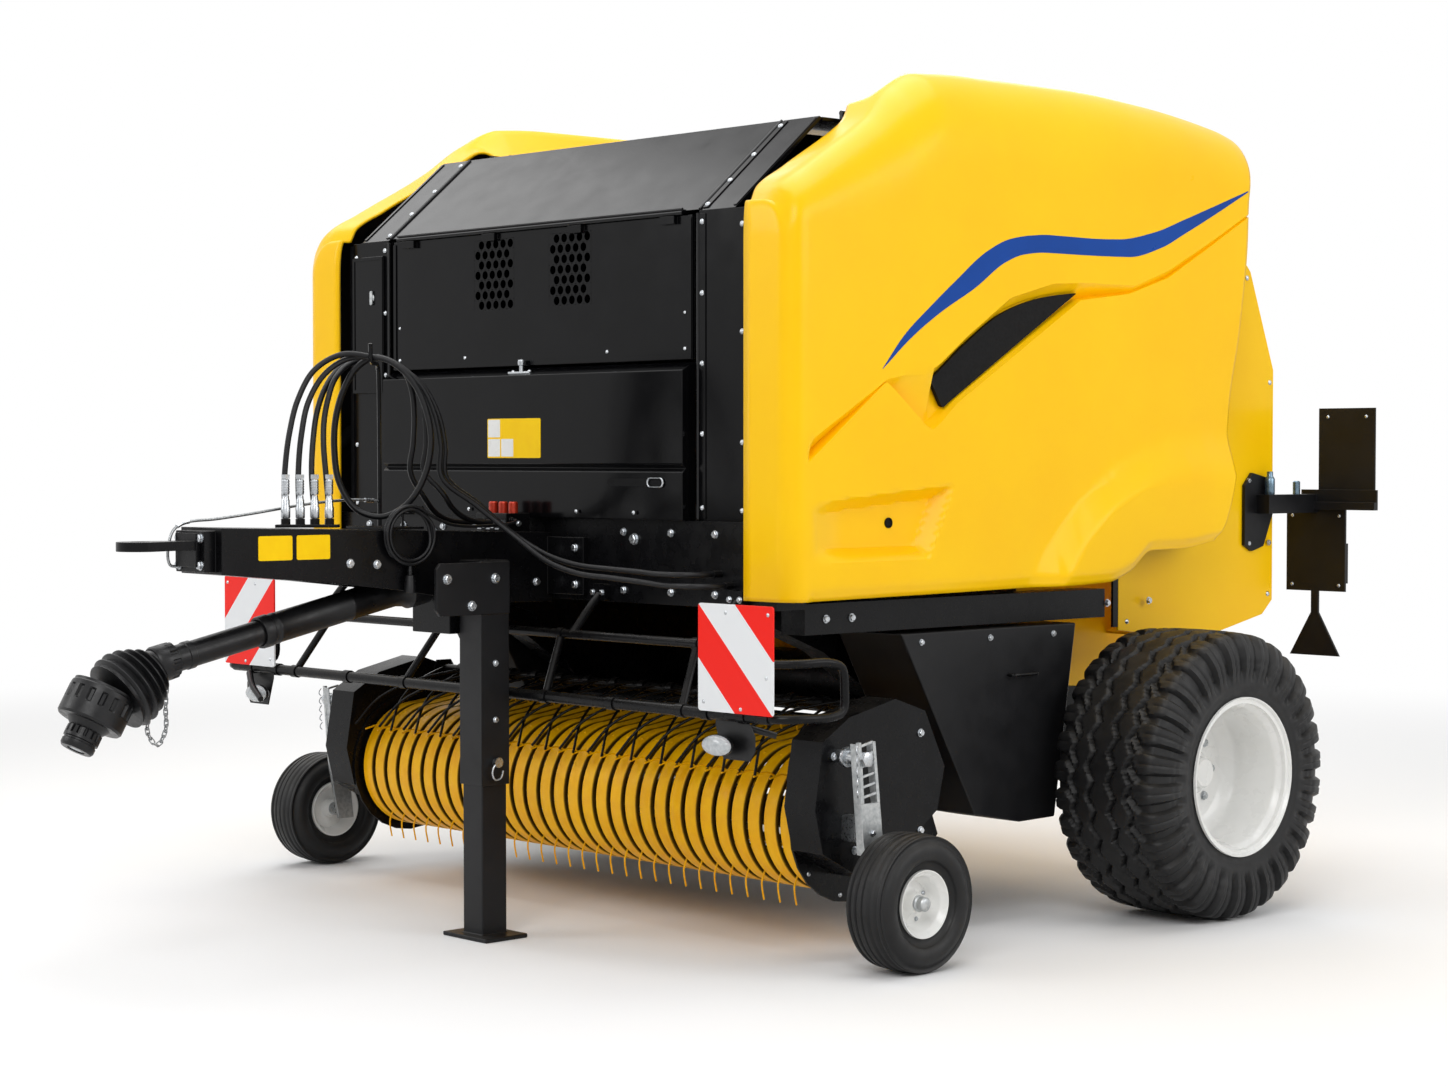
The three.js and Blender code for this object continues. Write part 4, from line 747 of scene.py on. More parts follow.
# The plug: a ribbed grip, a collar and the contact shell, hanging from the coil.
plugProfile = [(0, 0), (0, 0.0052), (0.01, 0.0066)]
for ring in range(4):
    plugProfile += [
        (0.012 + 0.003 * ring, 0.0066), (0.0132 + 0.003 * ring, 0.0074), (0.0144 + 0.003 * ring, 0.0074),
        (0.0149 + 0.003 * ring, 0.0064),
    ]
plugProfile += [
    (0.026, 0.0125), (0.03, 0.0138), (0.056, 0.0156), (0.0575, 0.016), (0.074, 0.016), (0.0742, 0.0145),
    (0.066, 0.0138), (0.066, 0),
]
controlPlug = addPiece(
    "control_plug_body", [latheShape(plugProfile, plugTop, [0, 0, -1], 32)], guardPlastic, replaces=["control_plug"],
)
cordPiece(
    "control_cable_cord", cableRoute, cableSetup["diameter"] / 2, 14, cableJacket,
    ["control_cable", "control_cable_coil"],
)

ropeRoute = smoothPath([
    [-0.1, -1.9616, 1.236], [-0.1, -1.985, 1.238], [-0.098, -2.04, 1.24], [-0.093, -2.11, 1.238],
    [-0.087, -2.18, 1.233], [-0.083, -2.25, 1.226], [-0.079, -2.32, 1.217], [-0.075, -2.39, 1.208],
    [-0.071, -2.46, 1.2], [-0.067, -2.53, 1.193], [-0.064, -2.59, 1.19], [-0.062, -2.63, 1.184],
    [-0.061, -2.658, 1.164], [-0.06, -2.671, 1.132], [-0.06, -2.675, 1.098], [-0.06, -2.671, 1.079],
    [-0.06, -2.664, 1.071], [-0.06, -ropeSetup["endForward"], 1.07],
], 0.008)
ferrules = addPiece(
    "rope_ferrules",
    [tubeShape(ropeRoute[2:7], 0.0062, 14), tubeShape(ropeRoute[-22:-16], 0.0062, 14)],
    zincPlate,
)
cordPiece(
    "safety_rope_cord", ropeRoute, ropeSetup["diameter"] / 2, 12, steelRope, ["safety_rope"],
)
print("cords laid")


# Side covers: a moulded skin with a stepped waist line, a vent pocket, a lock recess and a wheel arch.
coverSetup = {
    "outer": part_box("side_cover_left")[1].x,
    "front": -1.508,
    "lip": 0.935,
    "corner": 0.06,
    "wall": 0.008,
    "hingeEdge": 0.8165,
    "hingeHeight": 2.335,
    "stepDepth": 0.034,
    "recessDepth": 0.044,
    "archRise": 0.048,
    "shallowStep": 0.005,
    "recessSlope": 0.032,
    "edgeRoll": 0.035,
    "edgeTuck": 0.012,
    "sharpAngle": 28,
}
topLine = [
    (-1.5, 2.049), (-1.48, 2.088), (-1.375, 2.15), (-1.116, 2.298), (-0.997, 2.391), (-0.874, 2.447),
    (-0.664, 2.459), (-0.266, 2.4604), (0.113, 2.441), (0.464, 2.399), (0.523, 2.385),
]
bottomLine = [(0, 0.975), (0.52, 0.985), (0.7, 0.992), (0.76, 1.02), (0.82, 1.082), (0.9, 1.084), (1, 1.105)]
rearLine = [
    (1.105, 0.276), (1.166, 0.326), (1.32, 0.376), (1.537, 0.399), (1.756, 0.449), (2.038, 0.487),
    (2.147, 0.491), (2.274, 0.512), (2.4, 0.52),
]
# The lower panel's upper edge and the upper panel's lower edge, from the front to the rear.
lowerEdge = [
    (-1.46, 1.33), (-1.435, 1.354), (-1.147, 1.566), (-1.12, 1.55), (-0.985, 1.447), (-0.965, 1.437), (-0.94, 1.447),
    (-0.858, 1.512),
    (-0.324, 1.819), (-0.1, 1.846), (0.088, 1.902), (0.3, 2.01), (0.492, 2.11), (0.53, 2.13),
]
upperEdge = [
    (-1.46, 1.39), (-1.431, 1.408), (-1.14, 1.574), (-1.08, 1.584), (-0.983, 1.592), (-0.93, 1.62), (-0.814, 1.702),
    (-0.634, 1.814), (-0.446, 1.862), (-0.315, 1.87), (-0.068, 1.872), (0.088, 1.924), (0.3, 2.024), (0.492, 2.12),
    (0.53, 2.14),
]
ventLow = [(-0.952, 1.57), (-0.928, 1.532), (-0.905, 1.496), (-0.88, 1.513), (-0.6, 1.678), (-0.328, 1.838)]
ventHigh = [
    (-0.952, 1.573), (-0.9, 1.61), (-0.8, 1.681), (-0.663, 1.763), (-0.56, 1.8), (-0.477, 1.82), (-0.4, 1.832),
    (-0.328, 1.84),
]
recessCorners = [(-1.447, 1.236), (-0.872, 1.283), (-0.974, 1.084), (-1.43, 1.08)]
archOuter = [
    (-0.57, 0.96), (-0.558, 1.002), (-0.488, 1.094), (-0.328, 1.237), (-0.147, 1.341), (0.057, 1.406), (0.251, 1.43),
    (0.5, 1.41),
]
archInner = [
    (-0.45, 0.96), (-0.432, 1.005), (-0.36, 1.102), (-0.229, 1.204), (-0.045, 1.287), (0.146, 1.319), (0.343, 1.307),
    (0.5, 1.29),
]


# The value at x of the straight lines between (x, value) points.
def lineAlong(line, x):
    xs, ys = np.asarray(line, float).T
    return np.interp(x, xs, ys)


# How far the skin stands out of its flat side at (y, z), negative inwards. Each feature is a smooth step
# across its own edge line.
def skinRelief(y, z):
    low, high = lineAlong(lowerEdge, y), lineAlong(upperEdge, y)
    gap = np.maximum(high - low, 1e-4)
    share = np.clip((z - low) / gap, 0, 1)
    # the step: it falls steeply above the lower panel's edge, stays deep behind the vent and slopes out
    depth = coverSetup["stepDepth"] * smoothStep(0.004, 0.05, gap) + coverSetup["shallowStep"] * (
        1 - smoothStep(0.004, 0.05, gap)
    )
    vent = np.clip((lineAlong(ventHigh, y) - low) / gap, 0, 0.94) * ((y > ventHigh[0][0]) & (y < ventHigh[-1][0]))
    floorEnd = np.maximum(0.14, vent + 0.03)
    step = -depth * np.where(
        share < floorEnd, np.clip(share / 0.1, 0, 1), np.clip((1 - share) / (1 - floorEnd), 0, 1)
    )
    inside = (z > low) & (z < high)
    relief = np.where(inside, step, 0)
    # the lock recess: a flat floor that sinks towards the rear, with a slope inside its outline
    edges = np.array(recessCorners)
    distance = np.full(np.shape(y), 1.0)
    for (y0, z0), (y1, z1) in zip(edges, np.roll(edges, -1, axis=0)):
        length = math.hypot(y1 - y0, z1 - z0)
        distance = np.minimum(distance, ((y - y0) * (z1 - z0) - (z - z0) * (y1 - y0)) / length)
    sink = coverSetup["recessDepth"] * smoothStep(-1.46, -1.27, y)
    relief = relief - sink * np.clip(distance / coverSetup["recessSlope"], 0, 1)
    # the wheel arch: a raised field under a broad sloping band
    outer, inner = lineAlong(archOuter, y), lineAlong(archInner, y)
    band = np.clip((outer - z) / np.maximum(outer - inner, 0.02), 0, 1)
    ahead = smoothStep(-0.57, -0.42, y)
    fade = 1 - smoothStep(0.4, 0.5, y)
    relief = relief + coverSetup["archRise"] * band * ahead * fade
    return relief


# The skin's points. Rows follow the bottom, the recess, both edges of the step and the shoulder, then
# round over to the hinge edge. Columns run round the front corner and along the side.
def coverSkin():
    s = coverSetup
    along = np.linspace(0, 1, 190)
    lip = np.linspace(-1, 0, 5)[:-1]
    corner = np.linspace(0, 1, 10)[:-1]
    station = np.concatenate([lip, corner, 1 + along])
    side = np.clip(station - 1, 0, 1)
    turn = np.clip(station, 0, 1) * math.pi / 2
    x = np.where(
        station < 0, s["lip"] + (1 + station) * (s["outer"] - s["corner"] - s["lip"]),
        s["outer"] - s["corner"] * (1 - np.sin(turn)),
    )
    frontY = np.where(station < 0, s["front"], s["front"] + s["corner"] * (1 - np.cos(turn)))

    def lengthAt(z):
        return frontY + side * (smoothAlong(rearLine, z) - frontY)

    lowest = smoothAlong(bottomLine, side)
    crest = smoothAlong(topLine, lengthAt(np.full_like(side, 2.4)))
    roundness = smoothAlong([(-1.508, 0.11), (-0.9, 0.27), (0.6, 0.2)], lengthAt(np.full_like(side, 2.2)))
    shoulder = crest - roundness
    rows = [lowest]
    levels = [np.maximum(1.09, lowest + 0.03), np.maximum(1.27, lowest + 0.06)]
    marks = [
        (9, lambda y: levels[0]), (22, lambda y: levels[1]), (26, lambda y: lineAlong(lowerEdge, y)),
        (16, lambda y: lineAlong(upperEdge, y)), (22, lambda y: shoulder),
    ]
    for count, level in marks:
        target = rows[-1] * 0 + 1.5
        for _ in range(12):
            target = level(lengthAt(target))
        start = rows[-1]
        rows += [start + (target - start) * k / count for k in range(1, count + 1)]
    z = np.array(rows)
    y = lengthAt(z)
    px = np.broadcast_to(x, z.shape).copy()
    onFlat = smoothStep(0.0, 0.02, side)[None, :]
    px += skinRelief(y, z) * onFlat
    edgeRoll = smoothStep(0, s["edgeRoll"], z - lowest)
    px -= s["edgeTuck"] * (1 - edgeRoll) * onFlat
    lower = np.stack([px, y, z], -1)

    # over the shoulder to the hinge edge: a quarter round that flattens, then falls to the hinge
    over = np.linspace(0, 1, 31)[1:, None]
    innerX = smoothAlong(
        [(-1.5, s["lip"] - 0.012), (-1.14, 0.898), (-0.97, s["hingeEdge"]), (0.6, s["hingeEdge"])],
        lengthAt(np.full_like(side, 2.4)),
    )
    inward = np.maximum(0, x - innerX) * (1 - np.cos(over * math.pi / 2))
    droop = np.interp(
        lengthAt(np.full_like(side, 2.4)), [-1.05, -0.98], [0, 1]
    ) * np.maximum(0, crest - s["hingeHeight"])
    fall = droop * np.maximum(0, over - 0.75) / 0.25
    topZ = shoulder + roundness * np.sin(np.minimum(1, over / 0.75) * math.pi / 2) - fall
    lean = 0.03 * over**2 * (1 - side)
    upper = np.stack([x - inward, lengthAt(np.minimum(topZ, crest)) + lean, topZ], -1)
    return np.vstack([lower, upper])


# The skin as a sheet, with its wall made inwards and its inner face black.
def coverPiece(name, node, sign):
    points, faces = gridShape(coverSkin())
    points[:, 0] *= sign
    if sign > 0:
        faces = [face[::-1] for face in faces]
    mesh = bpy.data.meshes.new(name)
    mesh.from_pydata((points + [0, axleY, 0]).tolist(), [], faces)
    keepSharp(mesh, coverSetup["sharpAngle"])
    obj = newObject(name, mesh)
    wall = obj.modifiers.new("wall", "SOLIDIFY")
    wall.thickness = coverSetup["wall"]
    wall.offset = -1
    wall.use_even_offset = False
    wall.material_offset = 1
    finishPiece(obj, yellowEnamel, bodyOf[node], "yellow_cover", [node], 0)
    obj.data.materials.append(ventPlastic)
    return obj


# A strip on the skin between two lines of (y, z), standing just proud of it, closed all round.
def skinStrip(lowLine, highLine, columns, rows, lift, thick):
    y = np.linspace(lowLine[0][0], lowLine[-1][0], columns)
    low, high = smoothAlong(lowLine, y), smoothAlong(highLine, y)
    share = np.linspace(0, 1, rows)[:, None]
    z = low + (high - low) * share
    yy = np.broadcast_to(y, z.shape)
    outer = np.stack([coverSetup["outer"] + skinRelief(yy, z) + lift, yy, z], -1)
    inner = outer - [thick, 0, 0]
    return gridShape(np.concatenate([outer, inner[::-1]]), wrapRows=True, flatEnds=True)


stripeLow = [
    (-1.162, 1.6), (-1.046, 1.69), (-0.93, 1.762), (-0.788, 1.835), (-0.661, 1.912), (-0.58, 1.939), (-0.486, 1.949),
    (-0.3, 1.951), (-0.097, 1.956), (0.05, 1.99), (0.168, 2.04), (0.32, 2.108), (0.486, 2.186),
]
stripeHigh = [
    (-1.162, 1.602), (-1.074, 1.697), (-0.97, 1.778), (-0.871, 1.85), (-0.74, 1.939), (-0.64, 1.98), (-0.55, 1.995),
    (-0.465, 2.001), (-0.3, 2.001), (-0.145, 2.006), (0.02, 2.036), (0.167, 2.083), (0.486, 2.19),
]


stripeSetup = {"lift": 0.0006, "thickness": 0.0012}
ventSetup = {"sunk": 0.0185, "tilt": 0.006, "thickness": 0.012, "columns": 60, "rows": 10}


# The vent: a black plate filling the pocket's floor.
def ventPlate():
    v = ventSetup
    y = np.linspace(ventLow[0][0], ventLow[-1][0], v["columns"])
    low, high = lineAlong(ventLow, y), smoothAlong(ventHigh, y)
    share = np.linspace(0, 1, v["rows"])[:, None]
    z = low + (high - low) * share
    yy = np.broadcast_to(y, z.shape)
    top = np.full(z.shape, coverSetup["outer"] - v["sunk"]) - v["tilt"] * (share - 0.5)
    outer = np.stack([top, yy, z], -1)
    inner = outer - [v["thickness"], 0, 0]
    return gridShape(np.concatenate([outer, inner[::-1]]), wrapRows=True, flatEnds=True)


lockSetup = {"sunk": 0.042, "place": (-1.094, 1.18)}
lockPlace = (coverSetup["outer"] - lockSetup["sunk"], *lockSetup["place"])
lockProfile = [(-0.006, 0), (-0.006, 0.0145), (0.002, 0.0145), (0.003, 0.0125), (-0.001, 0.0105), (-0.002, 0)]
for sideName, sign in bothSigns:
    node = "side_cover_" + sideName
    coverPiece(node + "_skin", node, sign)
    addPiece(
        f"cover_stripe_{sideName}",
        onSide(sign, [skinStrip(stripeLow, stripeHigh, 120, 5, stripeSetup["lift"], stripeSetup["thickness"])]),
        blueVinyl, bodyOf[node], sharp=60,
    )
    addPiece(f"cover_vent_{sideName}", onSide(sign, [ventPlate()]), ventPlastic, bodyOf[node], sharp=40)
    addPiece(
        f"cover_lock_{sideName}", onSide(sign, [latheShape(lockProfile, lockPlace, toSide, 24)]), ventPlastic,
        bodyOf[node],
    )
print("side covers moulded")


# Main wheels: an implement tyre with wavy centre ribs and shoulder lugs, on a deep white rim.
wheelSetup = {
    "track": 2.554,
    "radius": 0.425,
    "halfWidth": 0.205,
    "bead": 0.2346,
    "lugs": 30,
    "grooveDepth": 0.015,
    "ribEdges": (0.038, 0.098),
    "nuts": 8,
    "nutCircle": 0.112,
    "nutFace": -0.0095,
    "nutSize": 0.013,
}


# Tyre carcass profile from bead to bead as (across, radius), a rounded square shoulder.
def carcassProfile(halfWidth, radius, bead, beadAcross, count):
    line = [
        (beadAcross, bead - 0.006), (beadAcross + 0.0005, bead + 0.004), (beadAcross + 0.004, bead + 0.016),
        (halfWidth - 0.006, bead + 0.3 * (radius - bead)),
        (halfWidth, bead + 0.5 * (radius - bead)), (halfWidth - 0.004, bead + 0.68 * (radius - bead)),
        (halfWidth - 0.016, bead + 0.84 * (radius - bead)), (halfWidth * 0.83, bead + 0.95 * (radius - bead)),
        (halfWidth * 0.62, radius - 0.0035), (halfWidth * 0.3, radius - 0.0008), (0, radius),
    ]
    half = smoothPath(np.array([(a, 0, b) for a, b in line]), 0.002)[:, [0, 2]]
    distance = np.concatenate([[0], np.cumsum(np.linalg.norm(np.diff(half, axis=0), axis=1))])
    at = np.linspace(0, distance[-1], count)
    half = np.stack([np.interp(at, distance, half[:, 0]), np.interp(at, distance, half[:, 1])], -1)
    return np.vstack([half, half[-2::-1] * [-1, 1]])


# A wave of straight lines between -1 and 1, one for each whole number.
def triangleWave(x):
    return 2 * np.abs(2 * (x - np.floor(x + 0.5))) - 1


# The tread cut into the carcass: zigzag grooves round the tyre and bent slots across each shoulder.
def treadDepth(across, angle, radius):
    s = wheelSetup
    turns = angle * s["lugs"] / (2 * math.pi)
    cut = np.zeros(np.broadcast(across, angle).shape)
    onTread = smoothStep(s["radius"] - 0.15, s["radius"] - 0.11, radius)
    for k, centre in enumerate((-s["ribEdges"][1], -s["ribEdges"][0], s["ribEdges"][0], s["ribEdges"][1])):
        wave = centre + 0.012 * triangleWave(turns + 0.5 * k)
        cut = np.maximum(cut, 1 - smoothStep(0.0035, 0.0085, np.abs(across - wave)))
    beyond = np.abs(across) - s["ribEdges"][1]
    skew = np.sign(across) * 0.25 + 0.5 * np.clip(1 - beyond / 0.035, 0, 1) * np.sign(across)
    phase = turns + skew - np.floor(turns + skew + 0.5)
    slotHalf = 0.13 + 0.06 * smoothStep(0.02, 0.1, beyond)
    slot = 1 - smoothStep(slotHalf - 0.05, slotHalf + 0.05, np.abs(phase))
    cut = np.maximum(cut, slot * smoothStep(-0.004, 0.006, beyond))
    sipePhase = turns + skew + 0.5 - np.floor(turns + skew + 1.0)
    sipe = 0.18 * (1 - smoothStep(0.012, 0.03, np.abs(sipePhase))) * smoothStep(0.02, 0.03, beyond)
    return s["grooveDepth"] * np.maximum(cut, sipe) * onTread


# The carcass turned about the axle, pushed in along its own outward direction by the tread's depth.
def mainTyre():
    s = wheelSetup
    profile = carcassProfile(s["halfWidth"], s["radius"], s["bead"], 0.189, 54)
    across, radius = profile.T
    angle = np.arange(s["lugs"] * 16) * 2 * math.pi / (s["lugs"] * 16)
    depth = treadDepth(across[:, None], angle[None, :], radius[:, None])
    slope = np.gradient(profile, axis=0)
    outward = np.stack([-slope[:, 1], slope[:, 0]], -1)
    outward /= np.linalg.norm(outward, axis=1)[:, None]
    outward *= np.where(
        outward[:, 1] * (radius - 0.3) + np.abs(across) * np.sign(across) * outward[:, 0] > 0, 1, -1
    )[:, None]
    # fine rings and a rim guard on the sidewall
    side = smoothStep(0.15, 0.19, np.abs(across)) * (1 - smoothStep(0.34, 0.36, radius))
    ring = 0.0012 * side * (
        np.abs((radius - 0.262) / 0.004) < 1
    ) + 0.0015 * side * (np.abs((radius - 0.335) / 0.004) < 1)
    a = across[:, None] - outward[:, :1] * (depth + ring[:, None])
    r = radius[:, None] - outward[:, 1:] * (depth + ring[:, None])
    outer = np.stack([a, r * np.cos(angle), r * np.sin(angle)], -1)
    seatAcross = np.array([-0.189, -0.1885, 0.1885, 0.189])
    seatRadius = np.array([0.2286, 0.2166, 0.2166, 0.2286])
    inner = np.stack(
        np.broadcast_arrays(
            seatAcross[:, None], seatRadius[:, None] * np.cos(angle), seatRadius[:, None] * np.sin(angle)
        ),
        -1,
    )
    return gridShape(np.vstack([outer, inner]), wrapRows=True, wrapColumns=True)


# The rim: a deep dish with rolled flanges, a step round the disc and a hub behind.
def mainRim():
    half, flange, seat = 0.199, wheelSetup["bead"], 0.2146
    face = [
        (0.025, 0), (0.025, 0.052), (0.023, 0.06), (0.016, 0.066), (-0.006, 0.0695), (-0.01, 0.074), (-0.01, 0.156),
        (-0.008, 0.163), (0.018, 0.189), (0.026, 0.194),
        (0.04, 0.1955), (0.125, 0.1995), (half - 0.045, 0.202), (half - 0.036, 0.204), (half - 0.022, 0.215),
        (half - 0.008, 0.2275), (half - 0.002, 0.229), (half, 0.231), (half, flange - 0.001), (half - 0.003, flange),
        (half - 0.008, flange), (half - 0.009, flange - 0.002),
        (half - 0.0095, seat + 0.001), (half - 0.012, seat), (0.0, seat), (0.012 - half, seat),
        (0.0095 - half, seat + 0.001), (0.009 - half, flange - 0.002), (0.008 - half, flange), (-half, flange),
        (-half, 0.229), (0.008 - half, 0.2275),
        (0.036 - half, 0.204), (-0.045, 0.1955), (-0.03, 0.19), (-0.022, 0.158), (-0.022, 0.078), (-0.03, 0.0745),
        (-0.134, 0.0745), (-0.136, 0.072), (-0.136, 0),
    ]
    return latheShape(face, origin, toSide, 96)


# Eight nuts on the disc's bolt circle.
def wheelDetails():
    s = wheelSetup
    turns = [2 * math.pi * k / s["nuts"] for k in range(s["nuts"])]
    places = [(s["nutFace"], s["nutCircle"] * math.cos(t), s["nutCircle"] * math.sin(t)) for t in turns]
    return [boltShape(place, toSide, s["nutSize"]) for place in places]


hubCap = latheShape(
    [(0.024, 0), (0.024, 0.046), (0.03, 0.048), (0.05, 0.046), (0.056, 0.04), (0.058, 0)], origin, toSide, 40
)
valve = [
    tubeShape([(0.022, -0.125, -0.145), (0.034, -0.13, -0.15), (0.06, -0.134, -0.155)], 0.0055, 12),
    tubeShape([(0.058, -0.134, -0.155), (0.074, -0.137, -0.158)], 0.0075, 12),
]
for sideName, sign in bothSigns:
    centre = [wheelSetup["track"] / 2, 0, wheelSetup["radius"]]
    body = bodyOf["main_tyre_" + sideName]
    addPiece(
        f"main_tyre_{sideName}_tread", putOn(sign, centre, [mainTyre()]), tyreRubber, body, [f"main_tyre_{sideName}"],
        sharp=50,
    )
    addPiece(
        f"main_rim_{sideName}_disc", putOn(sign, centre, [mainRim()]), whiteEnamel, body, [f"main_rim_{sideName}"],
        sharp=40,
    )
    addPiece(f"wheel_nuts_{sideName}", putOn(sign, centre, wheelDetails()), zincPlate, body)
    addPiece(f"hub_cap_{sideName}", putOn(sign, centre, [hubCap]), whiteEnamel, body)
    addPiece(f"tyre_valve_{sideName}", putOn(sign, centre, valve), guardPlastic, body, slot="tyre_rubber")

# Gauge wheels: ribbed tyres on light steel rims with a dark hub cap.
gaugeSetup = {"track": 2.678, "radius": 0.185, "forward": 1.284, "halfWidth": 0.0725, "bead": 0.091}


# A carcass with five grooves round it, turned about the axle.
def gaugeTyre():
    s = gaugeSetup
    profile = carcassProfile(s["halfWidth"], s["radius"], s["bead"], 0.0463, 48)
    across, radius = profile.T
    groove = np.zeros(len(profile))
    for centre in (-0.046, -0.024, 0, 0.024, 0.046):
        groove = np.maximum(groove, 1 - smoothStep(0.0012, 0.0034, np.abs(across - centre)))
    radius = radius - 0.005 * groove * smoothStep(0.16, 0.17, radius)
    radius = radius + 0.0012 * (np.abs(radius - 0.112) < 0.0025)
    ring = [(0.0461, 0.0793), (-0.0461, 0.0793)]
    profile = np.vstack([np.stack([across, radius], -1), ring[::-1]])
    angle = np.arange(96) * 2 * math.pi / 96
    grid = np.stack(
        np.broadcast_arrays(profile[:, :1], profile[:, 1:] * np.cos(angle), profile[:, 1:] * np.sin(angle)), -1
    )
    return gridShape(grid, wrapRows=True, wrapColumns=True)


gaugeRimProfile = [
    (0.03, 0), (0.03, 0.026), (0.012, 0.03), (0.004, 0.04), (0.002, 0.058), (0.012, 0.066), (0.036, 0.072),
    (0.044, 0.076), (0.052, 0.086), (0.0555, 0.0875), (0.056, 0.0905),
    (0.053, 0.091), (0.0475, 0.091), (0.047, 0.0792), (0, 0.079), (-0.047, 0.0792), (-0.0475, 0.091), (-0.056, 0.091),
    (-0.056, 0.087), (-0.04, 0.072),
    (-0.012, 0.066), (-0.008, 0.04), (-0.012, 0.03), (-0.045, 0.024), (-0.045, 0),
]
gaugeHub = [
    latheShape(
        [
            (0.029, 0), (0.029, 0.021), (0.036, 0.0225), (0.04, 0.019), (0.056, 0.019), (0.0595, 0.0165),
            (0.062, 0.012), (0.062, 0),
        ],
        origin, toSide, 36,
    ),
]
for sideName, sign in bothSigns:
    centre = [gaugeSetup["track"] / 2, -gaugeSetup["forward"], gaugeSetup["radius"]]
    body = bodyOf["gauge_tyre_" + sideName]
    addPiece(
        f"gauge_tyre_{sideName}_ribs", putOn(sign, centre, [gaugeTyre()]), tyreRubber, body,
        [f"gauge_tyre_{sideName}"], sharp=50,
    )
    addPiece(
        f"gauge_rim_{sideName}_disc", putOn(sign, centre, [latheShape(gaugeRimProfile, origin, toSide, 72)]),
        whiteEnamel, body, [f"gauge_rim_{sideName}"], sharp=40,
    )
    addPiece(f"gauge_hub_{sideName}", putOn(sign, centre, gaugeHub), galvanised, body)
    nuts = [
        boltShape((0.0035, 0.05 * math.cos(a), 0.05 * math.sin(a)), toSide, 0.006)
        for a in np.arange(4) * math.pi / 2 + 0.4
    ]
    addPiece(f"gauge_nuts_{sideName}", putOn(sign, centre, nuts), zincPlate, body)
print("wheels turned")


# Pick-up: crowned bands, sprung wire tines on four bars, crossing wind-guard rods.
pickupSetup = {
    "forward": 1.18,
    "height": 0.36,
    "bandRadius": 0.2,
    "bands": 31,
    "pitch": 0.0645,
    "bandWidth": 0.0475,
    "sheet": 0.0025,
    "barRadius": 0.135,
    "tipRadius": 0.262,
    "wire": 0.0028,
    "half": 1.0045,
    "barTurns": (225, 315, 45, 135),
    "discPlaces": (-0.98, -0.484, 0, 0.484, 0.98),
    "rivetTurn": 118,
}


# A band: its bent section of crowned face and turned-in edges carried along the top, round the nose
# and back under, in the plane of each band.
def bandShape(x):
    s = pickupSetup
    centre = (-s["forward"], s["height"])
    nose = arcPoints(centre, s["bandRadius"], 90, 270, 30)
    outward = (nose - centre) / s["bandRadius"]
    top = np.array(
        [
            [-0.93, centre[1] + s["bandRadius"] + 0.035], [-1.05, centre[1] + s["bandRadius"] + 0.019],
            [-1.12, centre[1] + s["bandRadius"] + 0.008],
        ]
    )
    under = np.array([[-1.1, centre[1] - s["bandRadius"] + 0.006], [-0.93, centre[1] - s["bandRadius"] + 0.02]])
    path = np.vstack([top, nose, under])
    normal = np.vstack([np.tile([-0.13, 0.99], (3, 1)), outward, np.tile([-0.08, -0.997], (2, 1))])
    half = s["bandWidth"] / 2
    section = np.array([
        (-half, -0.013), (-half, -0.004), (-half + 0.0012, -0.0012), (-half + 0.004, 0.0), (-half + 0.007, -0.0012),
        (-0.012, -0.0004), (0, 0),
        (0.012, -0.0004), (half - 0.007, -0.0012), (half - 0.004, 0.0), (half - 0.0012, -0.0012), (half, -0.004),
        (half, -0.013),
    ])
    inside = section[::-1] * [0.9, 1] - [0, s["sheet"]]
    loop = np.vstack([section, inside])
    across = np.broadcast_to(x + loop[:, 0], (len(path), len(loop)))
    flat = path[:, None] + normal[:, None] * loop[None, :, 1:]
    return gridShape(np.dstack([across, flat]), wrapColumns=True, flatEnds=True)


bandPlaces = (np.arange(pickupSetup["bands"]) - (pickupSetup["bands"] - 1) / 2) * pickupSetup["pitch"]
deck = [
    slabShape((-1.0045, -0.95, 0.58), (1.0045, -0.92, 0.602), 0, 0.003),
    slabShape((-1.0045, -0.95, 0.172), (1.0045, -0.92, 0.196), 0, 0.003),
]
# the bands' coat carries painted shade, darker towards each band's edges where the gaps between bands lie
addPiece(
    "pickup_band_set", [bandShape(x) for x in bandPlaces] + deck,
    bandFinishWithPaintedGapShade(pickupSetup["pitch"], pickupSetup["bandWidth"]), "pickup", ["pickup_bands"], sharp=50,
    slot="pickup_yellow",
)
rivetTurn = math.radians(pickupSetup["rivetTurn"])
rivetOut = np.array([0, math.cos(rivetTurn), math.sin(rivetTurn)])
rivetFoot = np.array([0, -pickupSetup["forward"], pickupSetup["height"]]) + 0.1985 * rivetOut
rivets = [domeShape(rivetFoot + [x, 0, 0], rivetOut, 0.0055, 0.003, 10) for x in bandPlaces]
addPiece("pickup_band_rivets", rivets, bandPowderCoat, "pickup")


# The point at a radius and angle round the reel's axis.
def roundAxis(radius, degrees):
    turn = math.radians(degrees)
    return [-pickupSetup["forward"] + radius * math.cos(turn), pickupSetup["height"] + radius * math.sin(turn)]


# A tine: two coils on the bar, a straight reach out of the gap and a bent tip.
def tineShape(x, degrees):
    s = pickupSetup
    reach = [(s["barRadius"] + 0.012, -4), (0.18, 4), (0.225, 8), (s["tipRadius"], 16)]
    line = [[x, *roundAxis(radius, degrees + turn)] for radius, turn in reach]
    coil = barShape(
        [x - 0.009, *roundAxis(s["barRadius"], degrees)], [x + 0.009, *roundAxis(s["barRadius"], degrees)], 0.0165, 10
    )
    return joinShapes([tubeShape(smoothPath(line, 0.016), s["wire"], 6), coil])


# The reel's axis at x.
def reelAxis(x):
    return [x, *roundAxis(0, 0)]


